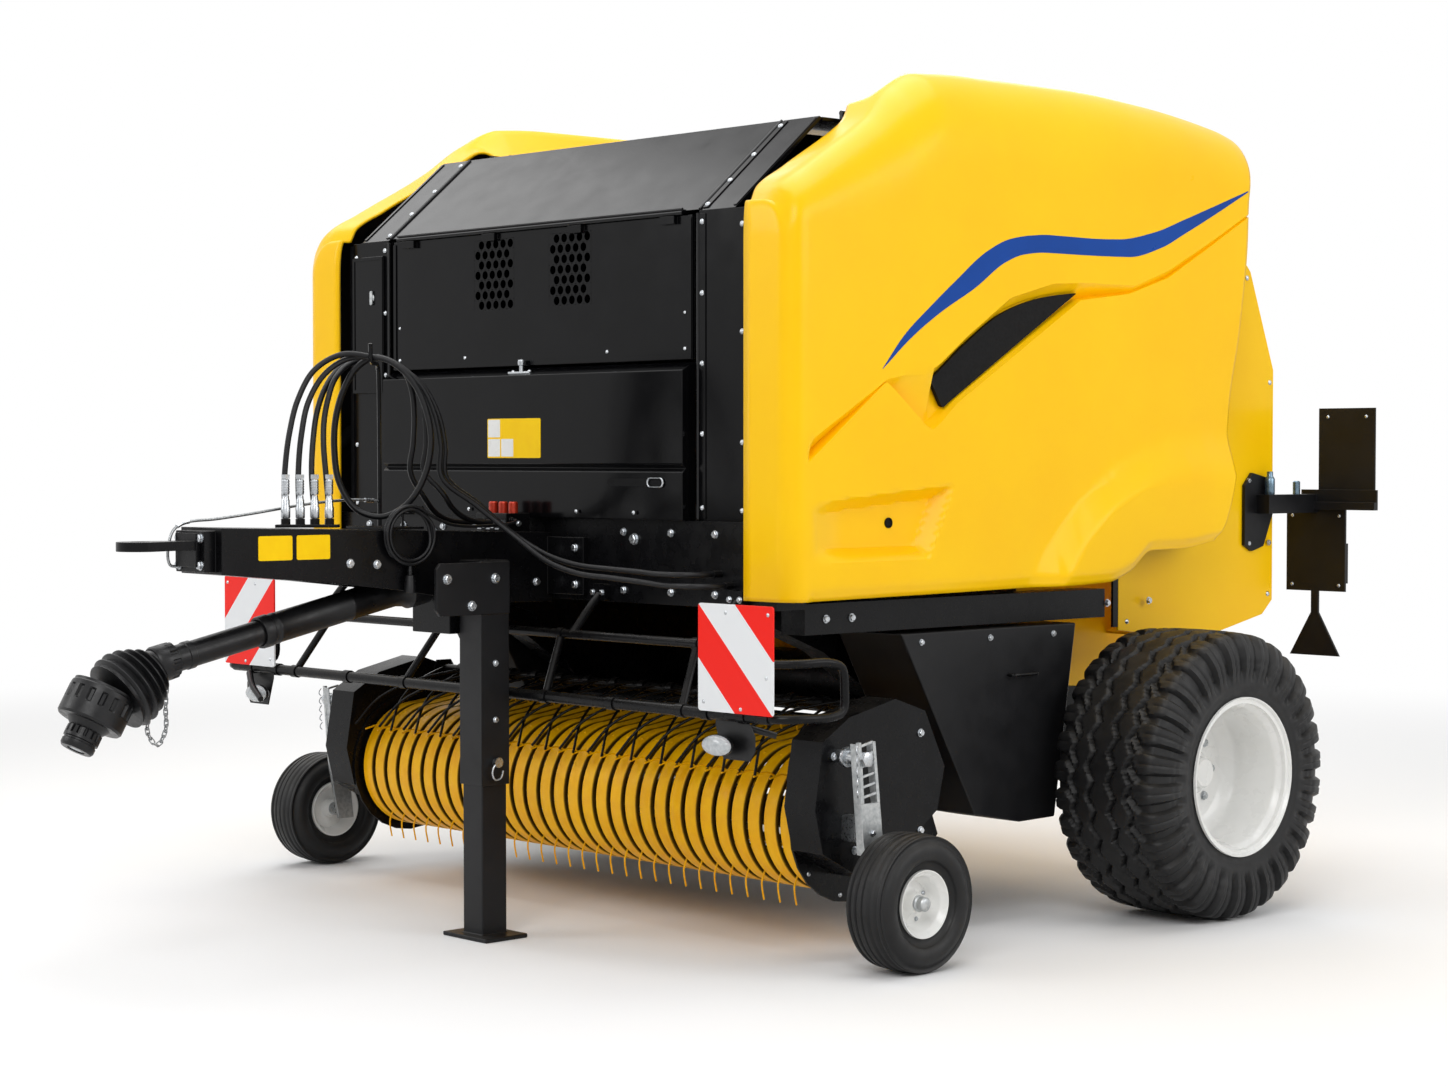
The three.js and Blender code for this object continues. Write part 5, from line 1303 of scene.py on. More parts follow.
reelShapes = [barShape(reelAxis(-pickupSetup["half"]), reelAxis(pickupSetup["half"]), 0.045, 24)]
discProfile = [(-0.004, 0), (-0.004, 0.153), (-0.002, 0.155), (0.002, 0.155), (0.004, 0.153), (0.004, 0)]
reelShapes += [latheShape(discProfile, reelAxis(x), toSide, 40) for x in pickupSetup["discPlaces"]]
tines = []
for degrees in pickupSetup["barTurns"]:
    barEnds = [[x, *roundAxis(pickupSetup["barRadius"], degrees)] for x in (-0.984, 0.984)]
    reelShapes.append(barShape(*barEnds, 0.012, 12))
    tines += [tineShape(x, degrees) for x in (bandPlaces[:-1] + bandPlaces[1:]) / 2]
addPiece("pickup_reel_core", reelShapes, framePaint, "pickup_reel", ["pickup_reel"], sharp=50)
addPiece("pickup_tines", tines, bandPowderCoat, "pickup_reel", sharp=50)


guardSetup = {
    "axis": (-1.04, 0.66), "half": 1.0045, "pairs": 15, "lean": 0.096, "over": 0.009, "tube": 0.014, "rod": 0.0042
}


# The wind guard: rods that lean left and right in turn and cross over the front of the bands.
def guardRod(x, lean, lift):
    line = [
        [x - lean, -1.04, 0.664 + lift], [x - lean * 0.62, -1.11, 0.655 + lift], [x, -1.235, 0.626 + lift],
        [x + lean * 0.6, -1.345, 0.568 + lift], [x + lean, -1.404, 0.488 + lift],
    ]
    return tubeShape(smoothPath(line, 0.02), guardSetup["rod"], 8)


guardAxis, guardHalf, lean = guardSetup["axis"], guardSetup["half"], guardSetup["lean"]
clampProfile = [(-0.012, 0.0145), (-0.012, 0.021), (0.012, 0.021), (0.012, 0.0145), (-0.012, 0.0145)]
rods = [barShape([-guardHalf, *guardAxis], [guardHalf, *guardAxis], guardSetup["tube"], 20)]
for k in range(guardSetup["pairs"]):
    x = (k - guardSetup["pairs"] // 2) * 2 * pickupSetup["pitch"]
    rods += [guardRod(x, lean, 0.0), guardRod(x, -lean, guardSetup["over"])]
    rods.append(latheShape(clampProfile, [x, *guardAxis], toSide, 16))
addPiece("wind_guard_rods", rods, framePaint, "wind_guard", ["wind_guard"], sharp=50)

dressNode("pickup_frame", framePaint, 0.003)
pickupBolts = [
    boltShape((1.13, y, z), toSide, 0.011) for y, z in ((-1.36, 0.56), (-1.02, 0.6), (-1.28, 0.3), (-1.02, 0.33))
]
pickupBolts += [
    domeShape([1.013, *roundAxis(0.205, degrees)], toSide, 0.007, 0.004) for degrees in range(20, 340, 40)
]
addPiece("pickup_bolts", bothSides(pickupBolts), zincPlate, "pickup")


# A gauge wheel's arm: a galvanised channel with a ladder of slots, its stub axle and pivot bolt.
def gaugeArmShapes():
    def edge(z, front):
        line = [(0.16, -1.314), (0.34, -1.35), (0.605, -1.37)] if front else [
            (0.16, -1.254), (0.34, -1.275), (0.605, -1.305)
        ]
        return lineAlong(line, z)

    low, high, rail = 0.16, 0.605, 0.011
    levels = [0.44, high]
    shapes = []
    for front in (True, False):
        step = rail if front else -rail
        outline = [(edge(z, front), z) for z in levels] + [(edge(z, front) + step, z) for z in levels[::-1]]
        shapes.append(prismShape(outline, 0, 1.2215, 1.2325))
    for z in np.linspace(0.462, high - 0.006, 6):
        outline = [
            (edge(z, True) + 0.008, z - 0.009), (edge(z, False) - 0.008, z + 0.001),
            (edge(z, False) - 0.008, z + 0.008), (edge(z, True) + 0.008, z - 0.002),
        ]
        shapes.append(prismShape(outline, 0, 1.2235, 1.2305))
    lower = [(edge(z, True), z) for z in (0.44, 0.34, 0.2, low)] + [
        (edge(z, False), z) for z in (low, 0.2, 0.34, 0.44)
    ]
    shapes.append(prismShape(lower, 0, 1.222, 1.232))
    for front, z0, z1 in ((True, 0.3, 0.6), (False, 0.3, 0.6)):
        outline = [
            (edge(z0, front), z0), (edge(z1, front), z1), (edge(z1, front) + (0.004 if front else -0.004), z1),
            (edge(z0, front) + (0.004 if front else -0.004), z0),
        ]
        shapes.append(prismShape(outline, 0, 1.2, 1.2225))
    return shapes


armFittings = [
    barShape([1.1304, -1.345, 0.56], [1.2235, -1.345, 0.56], 0.018, 20),
    latheShape([(0, 0), (0, 0.027), (0.005, 0.029), (0.012, 0.027), (0.012, 0)], [1.16, -1.345, 0.56], toSide, 24),
    latheShape([(0, 0), (0, 0.022), (0.014, 0.022), (0.017, 0.017), (0.017, 0)], [1.2325, -1.345, 0.56], toSide, 6),
    slabShape((1.1304, -1.33, 0.33), (1.224, -1.29, 0.4), 0, 0.006),
    barShape([1.2322, -1.284, 0.185], [1.2935, -1.284, 0.185], 0.022, 24),
    boltShape([1.2325, -1.315, 0.36], toSide, 0.009),
]
clips = []
for k in range(5):
    z = 0.46 + 0.028 * k
    clips.append(
        tubeShape(
            smoothPath(
                [
                    [1.233, -1.372 - 0.001 * k, z], [1.2375, -1.377 - 0.001 * k, z + 0.008],
                    [1.2345, -1.376 - 0.001 * k, z + 0.018], [1.233, -1.371 - 0.001 * k, z + 0.024],
                ],
                0.004,
            ),
            0.0018, 6,
        )
    )
for sideName, sign in bothSigns:
    addPiece(
        f"gauge_arm_{sideName}_ladder", onSide(sign, gaugeArmShapes()), galvanised, "pickup",
        [f"gauge_arm_{sideName}"], bevel=0.0012,
    )
    addPiece(f"gauge_arm_{sideName}_fittings", onSide(sign, armFittings + clips), zincPlate, "pickup", sharp=40)
print("pick-up built")


# Front and roof: gloss black panels with seals, bolts, perforated grilles and small fittings.
housingSetup = {
    "face": -1.47,
    "panelFace": -1.512,
    "housingTop": 2.035,
    "roofHeight": 2.31,
    "roofFront": -1.146,
    "seamX": 0.715,
}
for node in (
    "upper_hood", "front_corner_left", "front_corner_right", "front_panel", "front_flap", "control_hatch",
    "roof_panel",
):
    dressNode(node, blackEnamel, 0.003)


grilleSetup = {
    "places": (-0.188, 0.165), "half": 0.095, "low": 1.8, "high": 2.01, "rows": 7, "cells": 5, "holeRadius": 0.0128
}


# Thin plates on a face that looks forwards, one for each span of (x0, x1, z0, z1).
def facePlates(spans, front, back, corner):
    return [slabShape((x0, front, z0), (x1, back, z1), 1, corner) for x0, x1, z0, z1 in spans]


# A perforated field: each cell is a rectangle with a round hole, its rows set half a cell apart.
def perforatedShapes(x0, x1, z0, z1, y0, y1):
    rows, cells, radius = grilleSetup["rows"], grilleSetup["cells"], grilleSetup["holeRadius"]
    pitch, height = (x1 - x0) / (cells + 0.5), (z1 - z0) / rows
    turn = (np.arange(24) + 0.5) * 2 * math.pi / 24
    ray = np.stack([np.cos(turn), np.sin(turn)], -1)
    reach = np.minimum(pitch / 2 / np.abs(ray[:, 0]), height / 2 / np.abs(ray[:, 1]))[:, None]
    shapes = []
    for row in range(rows):
        shift = 0 if row % 2 else pitch / 2
        low, high = z0 + row * height, z0 + (row + 1) * height
        blank = (x0, x0 + pitch / 2) if shift else (x1 - pitch / 2, x1)
        shapes.append(slabShape((blank[0], y0, low), (blank[1], y1, high), 1, 0.0005, 1))
        for k in range(cells):
            centre = np.array([x0 + shift + (k + 0.5) * pitch, (low + high) / 2])
            rings = [centre + ray * reach, centre + ray * radius, centre + ray * radius, centre + ray * reach]
            grid = np.stack([np.insert(ring, 1, y, axis=1) for ring, y in zip(rings, (y0, y0, y1, y1))])
            shapes.append(gridShape(grid, wrapRows=True, wrapColumns=True))
    return shapes


face, panelFace = housingSetup["face"], housingSetup["panelFace"]
grilles = []
for x in grilleSetup["places"]:
    low, high, half = grilleSetup["low"], grilleSetup["high"], grilleSetup["half"]
    grilles += perforatedShapes(x - half, x + half, low, high, face + 0.0002, face + 0.003)
addPiece("front_grilles", grilles, blackEnamel, "front_flap", merge=False, sharp=30)

# The slope of the upper hood, from the housing's top edge to the roof.
slopeFoot = np.array([0, face, housingSetup["housingTop"]])
slopeHead = np.array([0, housingSetup["roofFront"], housingSetup["roofHeight"]])
slopeOut = np.array([0, -(slopeHead - slopeFoot)[2], (slopeHead - slopeFoot)[1]])
slopeOut /= np.linalg.norm(slopeOut)


# A point on the hood's slope, at x and a share of its height, lifted off it.
def onSlope(x, share, lift=0.0):
    return slopeFoot + (slopeHead - slopeFoot) * share + slopeOut * lift + [x, 0, 0]


seam = housingSetup["seamX"]
seals = [
    tubeShape([[seam, face - 0.0015, 1.19], [seam, face - 0.0015, 2.03]], 0.0045, 10),
    tubeShape([onSlope(seam, 0.02, 0.0015), onSlope(seam, 0.99, 0.0015)], 0.0045, 10),
]
seals.append(slabShape((0.9065, face + 0.004, 1.19), (0.929, face + 0.014, 2.03), 1, 0.003))
hoodSeal = barShape([-0.66, face - 0.0085, 2.0445], [0.66, face - 0.0085, 2.0445], 0.0035, 10)
addPiece("housing_seals", bothSides(seals) + [hoodSeal], guardPlastic)

# Raised cover strips beside the hood, as on pressed sheet, and the hood's own shallow border.
strips = []
for x0, x1 in ((0.724, 0.744), (0.846, 0.858)):
    outline = [
        (y, z)
        for _, y, z in (
            onSlope(0, 0.03, 0.0003), onSlope(0, 0.98, 0.0003), onSlope(0, 0.98, 0.0032), onSlope(0, 0.03, 0.0032)
        )
    ]
    strips.append(prismShape(outline, 0, x0, x1))
strips.append(slabShape((0.72, face - 0.003, 1.19), (0.746, face + 0.0003, 2.028), 1, 0.002))
addPiece("corner_strips", bothSides(strips), blackEnamel, bevel=0.001)

boltPlaces = [
    (0.733, face - 0.003, z) for z in (2.005, 1.81, 1.617, 1.424, 1.221)
] + [(0.89, face, z) for z in (1.99, 1.7, 1.4, 1.215)]
frontBolts = [domeShape(place, toFront, 0.0085, 0.0055) for place in boltPlaces]
frontBolts += [
    domeShape(onSlope(0.734, share, 0.0032), slopeOut, 0.0085, 0.0055) for share in (0.06, 0.32, 0.6, 0.92)
]
frontBolts += [domeShape((x, face - 0.0495, 1.205), toFront, 0.006, 0.004) for x in (0.25, 0.5)]
addPiece("housing_bolts", bothSides(frontBolts), zincPlate)

flapBolts = [domeShape((x, face, 1.66), toFront, 0.006, 0.004) for x in (-0.66, -0.33, 0.33, 0.66)]
flapBolts += [domeShape((x, face, 1.76), toFront, 0.005, 0.0035) for x in (-0.66, 0.66)]
addPiece("flap_bolts", flapBolts, zincPlate, "front_flap")
rimSpans = [(-0.689, 0.689, 1.6315, 1.645), (-0.689, -0.676, 1.645, 2.02), (0.676, 0.689, 1.645, 2.02)]
rim = facePlates(rimSpans, face - 0.0035, face + 0.0005, 0.002)
addPiece("flap_border", rim, blackEnamel, "front_flap", bevel=0.0012)

# The catch on the ledge: a lug on the flap's edge and a sprung knob beside it.
catch = [
    slabShape((-0.085, -1.502, 1.606), (0.015, -1.476, 1.612), 2, 0.003),
    latheShape(
        [(0, 0), (0, 0.007), (0.018, 0.007), (0.02, 0.011), (0.032, 0.012), (0.036, 0.009), (0.036, 0)],
        (-0.035, -1.4885, 1.611), toTop, 20,
    ),
    domeShape((-0.073, -1.4885, 1.6115), toTop, 0.007, 0.006),
    domeShape((0.003, -1.4885, 1.6115), toTop, 0.007, 0.006),
]
addPiece("flap_catch", catch, zincPlate, bevel=0.0008)

# A blank plate with its white fields, and the slot with its pull ring.
plate = [slabShape((-0.166, panelFace - 0.0014, 1.358), (0.082, panelFace + 0.0002, 1.474), 1, 0.004)]
addPiece("blank_plate_front", plate, plateYellow)
fieldSpans = [(x0, x0 + 0.056, z0, z0 + 0.052) for x0, z0 in ((-0.162, 1.419), (-0.162, 1.362), (-0.1, 1.362))]
fields = facePlates(fieldSpans, panelFace - 0.0019, panelFace - 0.0012, 0.002)
addPiece("blank_plate_fields", fields, whiteEnamel, slot=None)
slot = [slabShape((0.381, panelFace - 0.0012, 1.279), (0.61, panelFace + 0.0003, 1.301), 1, 0.0105, 6)]
addPiece("pull_slot", slot, ventPlastic)
oval = roundedRectangle(0.556, 0.62, 1.2775, 1.3025, 0.0124, 6)
ringLine = np.insert(oval, 1, panelFace - 0.0045, axis=1)
outwardRing = ringLine - ringLine.mean(axis=0)
outwardRing /= np.linalg.norm(outwardRing, axis=1)[:, None]
addPiece("pull_ring", [linkShape(ringLine, outwardRing, np.array(toFront), 0.0032, 10)], zincPlate)

# The control hatch's lock and border.
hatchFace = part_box("control_hatch")[0].y - axleY
hatch = [
    latheShape(
        [(0, 0), (0, 0.012), (0.003, 0.012), (0.0045, 0.009), (0.0045, 0)], (-0.79, hatchFace, 1.86), toFront, 20
    ),
    slabShape((-0.7965, hatchFace - 0.0065, 1.838), (-0.7835, hatchFace - 0.003, 1.882), 1, 0.005),
]
addPiece("hatch_lock", hatch, galvanised, "control_hatch")
hatchSpans = [
    (-0.894, -0.736, 1.562, 1.572), (-0.894, -0.736, 1.978, 1.988),
    (-0.894, -0.884, 1.572, 1.978), (-0.746, -0.736, 1.572, 1.978),
]
hatchRim = facePlates(hatchSpans, hatchFace - 0.0025, hatchFace + 0.0005, 0.002)
addPiece("hatch_border", hatchRim, blackEnamel, "control_hatch", bevel=0.001)
print("front and roof dressed")


# Drawbar, eye, gearbox and jack, with their bolts and blank plates.
for node in ("drawbar", "hitch_eye", "gearbox", "hose_hook", "hose_holder"):
    dressNode(node, framePaint, 0.0025)
for node in ("jack_sleeve", "jack_leg"):
    dressNode(node, shieldPowderCoat, 0.004)
drawbarHalf = 0.1
plates = [
    slabShape((drawbarHalf - 0.0002, y0, 1.084), (drawbarHalf + 0.0014, y0 + 0.108, 1.15), 0, 0.005)
    for y0 in (-2.496, -2.374)
]
addPiece("blank_plates_drawbar", plates, plateYellow)
drawbarBolts = [
    boltShape((drawbarHalf, y, z), toSide, 0.012)
    for y, z in ((-1.545, 1.0), (-1.545, 1.09), (-2.2, 1.07), (-2.11, 1.065))
]
drawbarBolts += [boltShape((x, -2.643, z), toFront, 0.013) for x in (-0.052, 0.052) for z in (1.075, 1.147)]
drawbarBolts += [
    boltShape((0.204, y, z), toSide, 0.014) for y, z in ((-1.948, 1.022), (-1.779, 1.02), (-1.862, 0.945))
]
drawbarBolts += [boltShape((x, -1.501, z), toFront, 0.012) for x in (-0.225, 0.225) for z in (0.995, 1.1)]
drawbarBolts += [boltShape((x, -1.485, 1.13), toFront, 0.016) for x in (0.467, -0.467)]
addPiece("drawbar_bolts", drawbarBolts, zincPlate)
gearBolts = [
    boltShape((0.0877, -1.7475 + 0.075 * math.cos(t), 0.985 + 0.09 * math.sin(t)), toSide, 0.0075)
    for t in np.radians(range(30, 390, 60))
]
addPiece("gearbox_bolts", bothSides(gearBolts), zincPlate)
gearCover = latheShape(
    [(0, 0), (0, 0.062), (0.006, 0.062), (0.009, 0.058), (0.009, 0.03), (0.014, 0.026), (0.014, 0)],
    (0.0875, -1.7475, 0.985), toSide, 40,
)
addPiece("gearbox_covers", bothSides([gearCover]), framePaint)

# The valve block's red caps and couplings, and the rope roller on the ledge.
caps = [
    latheShape([(0, 0), (0, 0.014), (0.03, 0.014), (0.034, 0.011), (0.034, 0)], (x, -1.575, 1.197), toTop, 18)
    for x in (-0.06, -0.014, 0.032)
]
addPiece("valve_caps", caps, redCap)
fittings = [
    latheShape(
        [(0, 0), (0, 0.016), (0.012, 0.016), (0.012, 0.011), (0.03, 0.011), (0.03, 0)], (x, -1.62, 1.165), toFront, 6
    )
    for x in (-0.055, -0.014, 0.027)
]
fittings.append(boltShape((0.056, -1.575, 1.168), toSide, 0.009))
addPiece("valve_fittings", fittings, zincPlate)

# The jack's locking pin with its ring, and two bolts above it.
legLow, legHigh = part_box("jack_leg")
legX, jackY = (legLow.x + legHigh.x) / 2, (legLow.y + legHigh.y) / 2 - axleY
pinRing = smoothPath(
    [
        [legX + 0.062, jackY, 0.5], [legX + 0.066, jackY - 0.018, 0.49], [legX + 0.066, jackY - 0.024, 0.47],
        [legX + 0.064, jackY - 0.012, 0.452], [legX + 0.064, jackY + 0.008, 0.456],
        [legX + 0.064, jackY + 0.016, 0.476],
    ],
    0.005,
)
pin = [
    barShape([legX + 0.045, jackY, 0.5], [legX + 0.066, jackY, 0.5], 0.011, 16),
    latheShape([(0, 0), (0, 0.0145), (0.005, 0.0145), (0.005, 0)], (legX + 0.062, jackY, 0.5), toSide, 16),
    tubeShape(pinRing, 0.0026, 8),
    *[boltShape([legX + 0.05, jackY, z], toSide, 0.009) for z in (0.62, 0.78)],
]
addPiece("jack_pin", pin, zincPlate)

# Drive shaft: both tubes slide in one line; the boot and the bell behind the fork hang lower.
shaftSetup = {
    "start": (-1.88, 1.005),
    "end": (-2.885, 0.785),
    "dip": 12.35,
    "bootStart": 0.8808,
    "bootDip": 32.0,
    "forkDip": 60.0,
}


# The forward direction that dips by so many degrees.
def shaftWay(degrees):
    return np.array([0, -math.cos(math.radians(degrees)), -math.sin(math.radians(degrees))])


# A turned profile whose marked rows are notched: each row is (along, radius, notched or not).
def notchedShape(profile, origin, axis, notches, depth):
    sides = notches * 8
    marks = np.array([row[2] for row in profile])
    points, faces = latheShape([row[:2] for row in profile], origin, axis, sides)
    rings = points.reshape(len(profile), sides, 3)
    axis = np.asarray(axis, float) / np.linalg.norm(axis)
    middle = np.asarray(origin, float) + np.array([row[0] for row in profile])[:, None] * axis
    cut = (np.arange(sides) % 8 < 3)[None, :] * marks[:, None] * depth
    outward = rings - middle[:, None]
    length = np.linalg.norm(outward, axis=2, keepdims=True)
    rings = rings - outward / np.maximum(length, 1e-9) * cut[..., None]
    return rings.reshape(-1, 3), faces


shaftStart = np.array([0, *shaftSetup["start"]])
shaftEnd = np.array([0, *shaftSetup["end"]])
shaftLine = shaftWay(shaftSetup["dip"])
rearTube = [
    (0, 0.0375), (0, 0.054), (0.005, 0.06), (0.05, 0.06), (0.068, 0.059), (0.078, 0.051), (0.11, 0.0425),
    (0.26, 0.042), (0.262, 0.0432), (0.272, 0.0432), (0.274, 0.042),
    (0.505, 0.042), (0.509, 0.0432), (0.514, 0.0432), (0.516, 0.042), (0.53, 0.042), (0.533, 0.0448), (0.558, 0.0448),
    (0.563, 0.043), (0.563, 0.0375), (0, 0.0375),
]
addPiece(
    "shaft_rear_tube", [latheShape(rearTube, shaftStart, shaftLine, 56)], guardPlastic, replaces=["shaft_rear_guard"],
    sharp=35,
)
frontTube = [
    (0.235, 0, 0), (0.235, 0.034, 0), (0.237, 0.035, 0), (0.62, 0.035, 0), (0.78, 0.035, 0), (0.782, 0.038, 0),
    (0.8, 0.038, 0), (0.802, 0.0355, 0), (0.835, 0.0358, 0),
    (0.838, 0.046, 0), (0.84, 0.049, 1), (0.862, 0.05, 1), (0.864, 0.05, 0), (0.893, 0.05, 0), (0.899, 0.046, 0),
    (0.899, 0, 0),
]
bootStart = shaftStart + shaftLine * shaftSetup["bootStart"]
bootProfile = [
    (0, 0), (0, 0.044), (0.006, 0.0475), (0.014, 0.048), (0.019, 0.0535), (0.028, 0.0675), (0.031, 0.0675),
    (0.036, 0.058), (0.041, 0.0625), (0.051, 0.0835), (0.054, 0.0835),
    (0.06, 0.0725), (0.066, 0.078), (0.076, 0.0975), (0.079, 0.0975), (0.086, 0.086), (0.092, 0.0895), (0.102, 0.105),
    (0.105, 0.105), (0.112, 0.0945), (0.118, 0.096),
    (0.128, 0.1045), (0.131, 0.1045), (0.138, 0.0945), (0.142, 0.0945), (0.15, 0.098), (0.15, 0),
]
addPiece(
    "shaft_front_tube",
    [
        notchedShape(frontTube, shaftStart, shaftLine, 12, 0.005),
        latheShape(bootProfile, bootStart, shaftWay(shaftSetup["bootDip"]), 64),
    ],
    guardPlastic, "drive_shaft", ["shaft_front_guard"], sharp=36,
)
forkProfile = [
    (0.03, 0, 0), (0.03, 0.0835, 0), (0.036, 0.0835, 0), (0.04, 0.0869, 0), (0.052, 0.0884, 0), (0.056, 0.0884, 1),
    (0.086, 0.0884, 1), (0.09, 0.0884, 0), (0.124, 0.0884, 0),
    (0.13, 0.084, 0), (0.13, 0.06, 0), (0.148, 0.0445, 0), (0.15, 0.0475, 1), (0.168, 0.0475, 1), (0.17, 0.0475, 0),
    (0.178, 0.0475, 0), (0.18, 0.043, 0),
    (0.184, 0.043, 0), (0.186, 0.0455, 0), (0.198, 0.0455, 0), (0.2025, 0.043, 0), (0.205, 0.0405, 0),
    (0.205, 0.024, 0), (0.165, 0.0235, 0), (0.165, 0.0, 0),
]
forkWay = shaftWay(shaftSetup["forkDip"])
addPiece(
    "shaft_bell", [notchedShape(forkProfile, shaftEnd, forkWay, 16, 0.006)], guardPlastic, "drive_shaft",
    ["shaft_yoke"], sharp=32,
)
splines = notchedShape(
    [(0.16, 0, 0), (0.16, 0.0225, 1), (0.2, 0.0225, 1), (0.2025, 0.02, 1), (0.2025, 0, 0)], shaftEnd, forkWay, 6,
    0.003,
)
addPiece("shaft_splines", [splines], zincPlate, "drive_shaft")


# The guard's chain: oval links laid along a hanging line, each turned a quarter from the last.
def chainShapes(line, pitch, wire):
    lengths = np.concatenate([[0], np.cumsum(np.linalg.norm(np.diff(line, axis=0), axis=1))])
    places = np.arange(pitch / 2, lengths[-1], pitch)
    middle = np.stack([np.interp(places, lengths, line[:, k]) for k in range(3)], -1)
    along = np.gradient(middle, axis=0)
    along /= np.linalg.norm(along, axis=1)[:, None]
    oval = roundedRectangle(-pitch * 0.72, pitch * 0.72, -pitch * 0.38, pitch * 0.38, pitch * 0.37, 4)
    out = oval / np.linalg.norm(oval, axis=1)[:, None]
    shapes = []
    for k, (place, way) in enumerate(zip(middle, along)):
        side = np.cross(way, [1, 0, 0])
        side /= np.linalg.norm(side)
        flat, lift = (side, np.cross(way, side)) if k % 2 else (np.cross(way, side), side)
        centre = place + oval[:, :1] * way + oval[:, 1:] * flat
        away = out[:, :1] * way + out[:, 1:] * flat
        shapes.append(linkShape(centre, away, lift, wire, 8))
    return shapes


chainTop = shaftStart + shaftLine * 0.868 + np.array([0, 0.011, -0.051])
chainLine = smoothPath(
    [
        chainTop, chainTop + [0, -0.004, -0.07], [0, -2.722, 0.64], [0, -2.748, 0.603], [0, -2.776, 0.64],
        bootStart + shaftWay(122) * 0.1 + shaftWay(32) * 0.1,
    ],
    0.004,
)
addPiece("shaft_chain", chainShapes(chainLine, 0.0145, 0.0021), steelRope, "drive_shaft", merge=False, sharp=60)


tubeSetup = {
    "low": (-1.7, 0.69), "high": (-1.6, 0.86), "lowRadius": 0.016, "highRadius": 0.013, "lowHalf": 1.24,
    "highHalf": 1.0, "braces": (0.33, 0.9),
}


# Guard frame: bent tube with welded braces and clamps, lamps hung below and boards in front.
def frameTubes():
    loop = [
        [1.2, -1.7, 0.69], [1.262, -1.696, 0.69], [1.3, -1.64, 0.69], [1.308, -1.55, 0.69], [1.308, -1.506, 0.703],
        [1.308, -1.5, 0.76],
        [1.308, -1.51, 0.815], [1.304, -1.55, 0.83], [1.28, -1.64, 0.83], [1.24, -1.694, 0.83],
    ]
    side = [
        tubeShape(smoothPath(loop, 0.014), 0.012, 16),
        barShape([1.215, -1.697, 0.69], [1.2155, -1.694, 0.836], 0.01, 14),
    ]
    s = tubeSetup
    for x in s["braces"]:
        side.append(barShape([x, *s["low"]], [x - 0.05, -1.598, 0.862], 0.011, 14))
        side.append(
            tubeShape(
                smoothPath([[x, -1.604, 0.858], [x, -1.58, 0.885], [x, -1.53, 0.94], [x, -1.497, 0.97]], 0.02), 0.012,
                14,
            )
        )
        side.append(slabShape((x - 0.03, -1.507, 0.952), (x + 0.03, -1.4853, 1.0), 1, 0.005))
    for x in (1.06, 1.18):
        side.append(slabShape((x - 0.02, -1.716, 0.684), (x + 0.02, -1.7, 0.75), 1, 0.004))
    for line, radius, half, places in (
        ("low", s["lowRadius"], 0.014, (0.33, 0.62, 0.9, 1.0, 1.14)), ("high", s["highRadius"], 0.012, (0.28, 0.85))
    ):
        inner, outer = round(radius - 0.0005, 4), round(radius + 0.0035, 4)
        collar = [(-half, inner), (-half, outer), (half, outer), (half, inner), (-half, inner)]
        side += [latheShape(collar, (x, *s[line]), toSide, 20) for x in places]
    low = tubeShape([[x, *s["low"]] for x in (-s["lowHalf"], -0.4, 0.4, s["lowHalf"])], s["lowRadius"], 24)
    high = tubeShape([[x, *s["high"]] for x in (-s["highHalf"], -0.4, 0.4, s["highHalf"])], s["highRadius"], 20)
    return bothSides(side) + [low, high]


addPiece("guard_tubes", frameTubes(), framePaint, replaces=["guard_frame"], sharp=40)
guardBolts = [boltShape((x, -1.507, 0.976), toFront, 0.009) for x in (0.31, 0.35, 0.88, 0.92)]
guardBolts += [domeShape((x, -1.716, 0.74), toFront, 0.006, 0.004) for x in (1.06, 1.18)]
addPiece("guard_bolts", bothSides(guardBolts), zincPlate)
boardSetup = {"bandWidth": 0.1, "corner": 0.009}
boardLow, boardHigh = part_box("warning_board_left")
boardCentre = (boardLow + boardHigh) / 2
boardFront = boardLow.y - axleY


# A turned shape of unit radius drawn out to the lamp's oval and moved to its place.
def ovalShape(shape):
    return shape[0] * ovalLampSetup["halfAxes"] + ovalLampSetup["place"], shape[1]


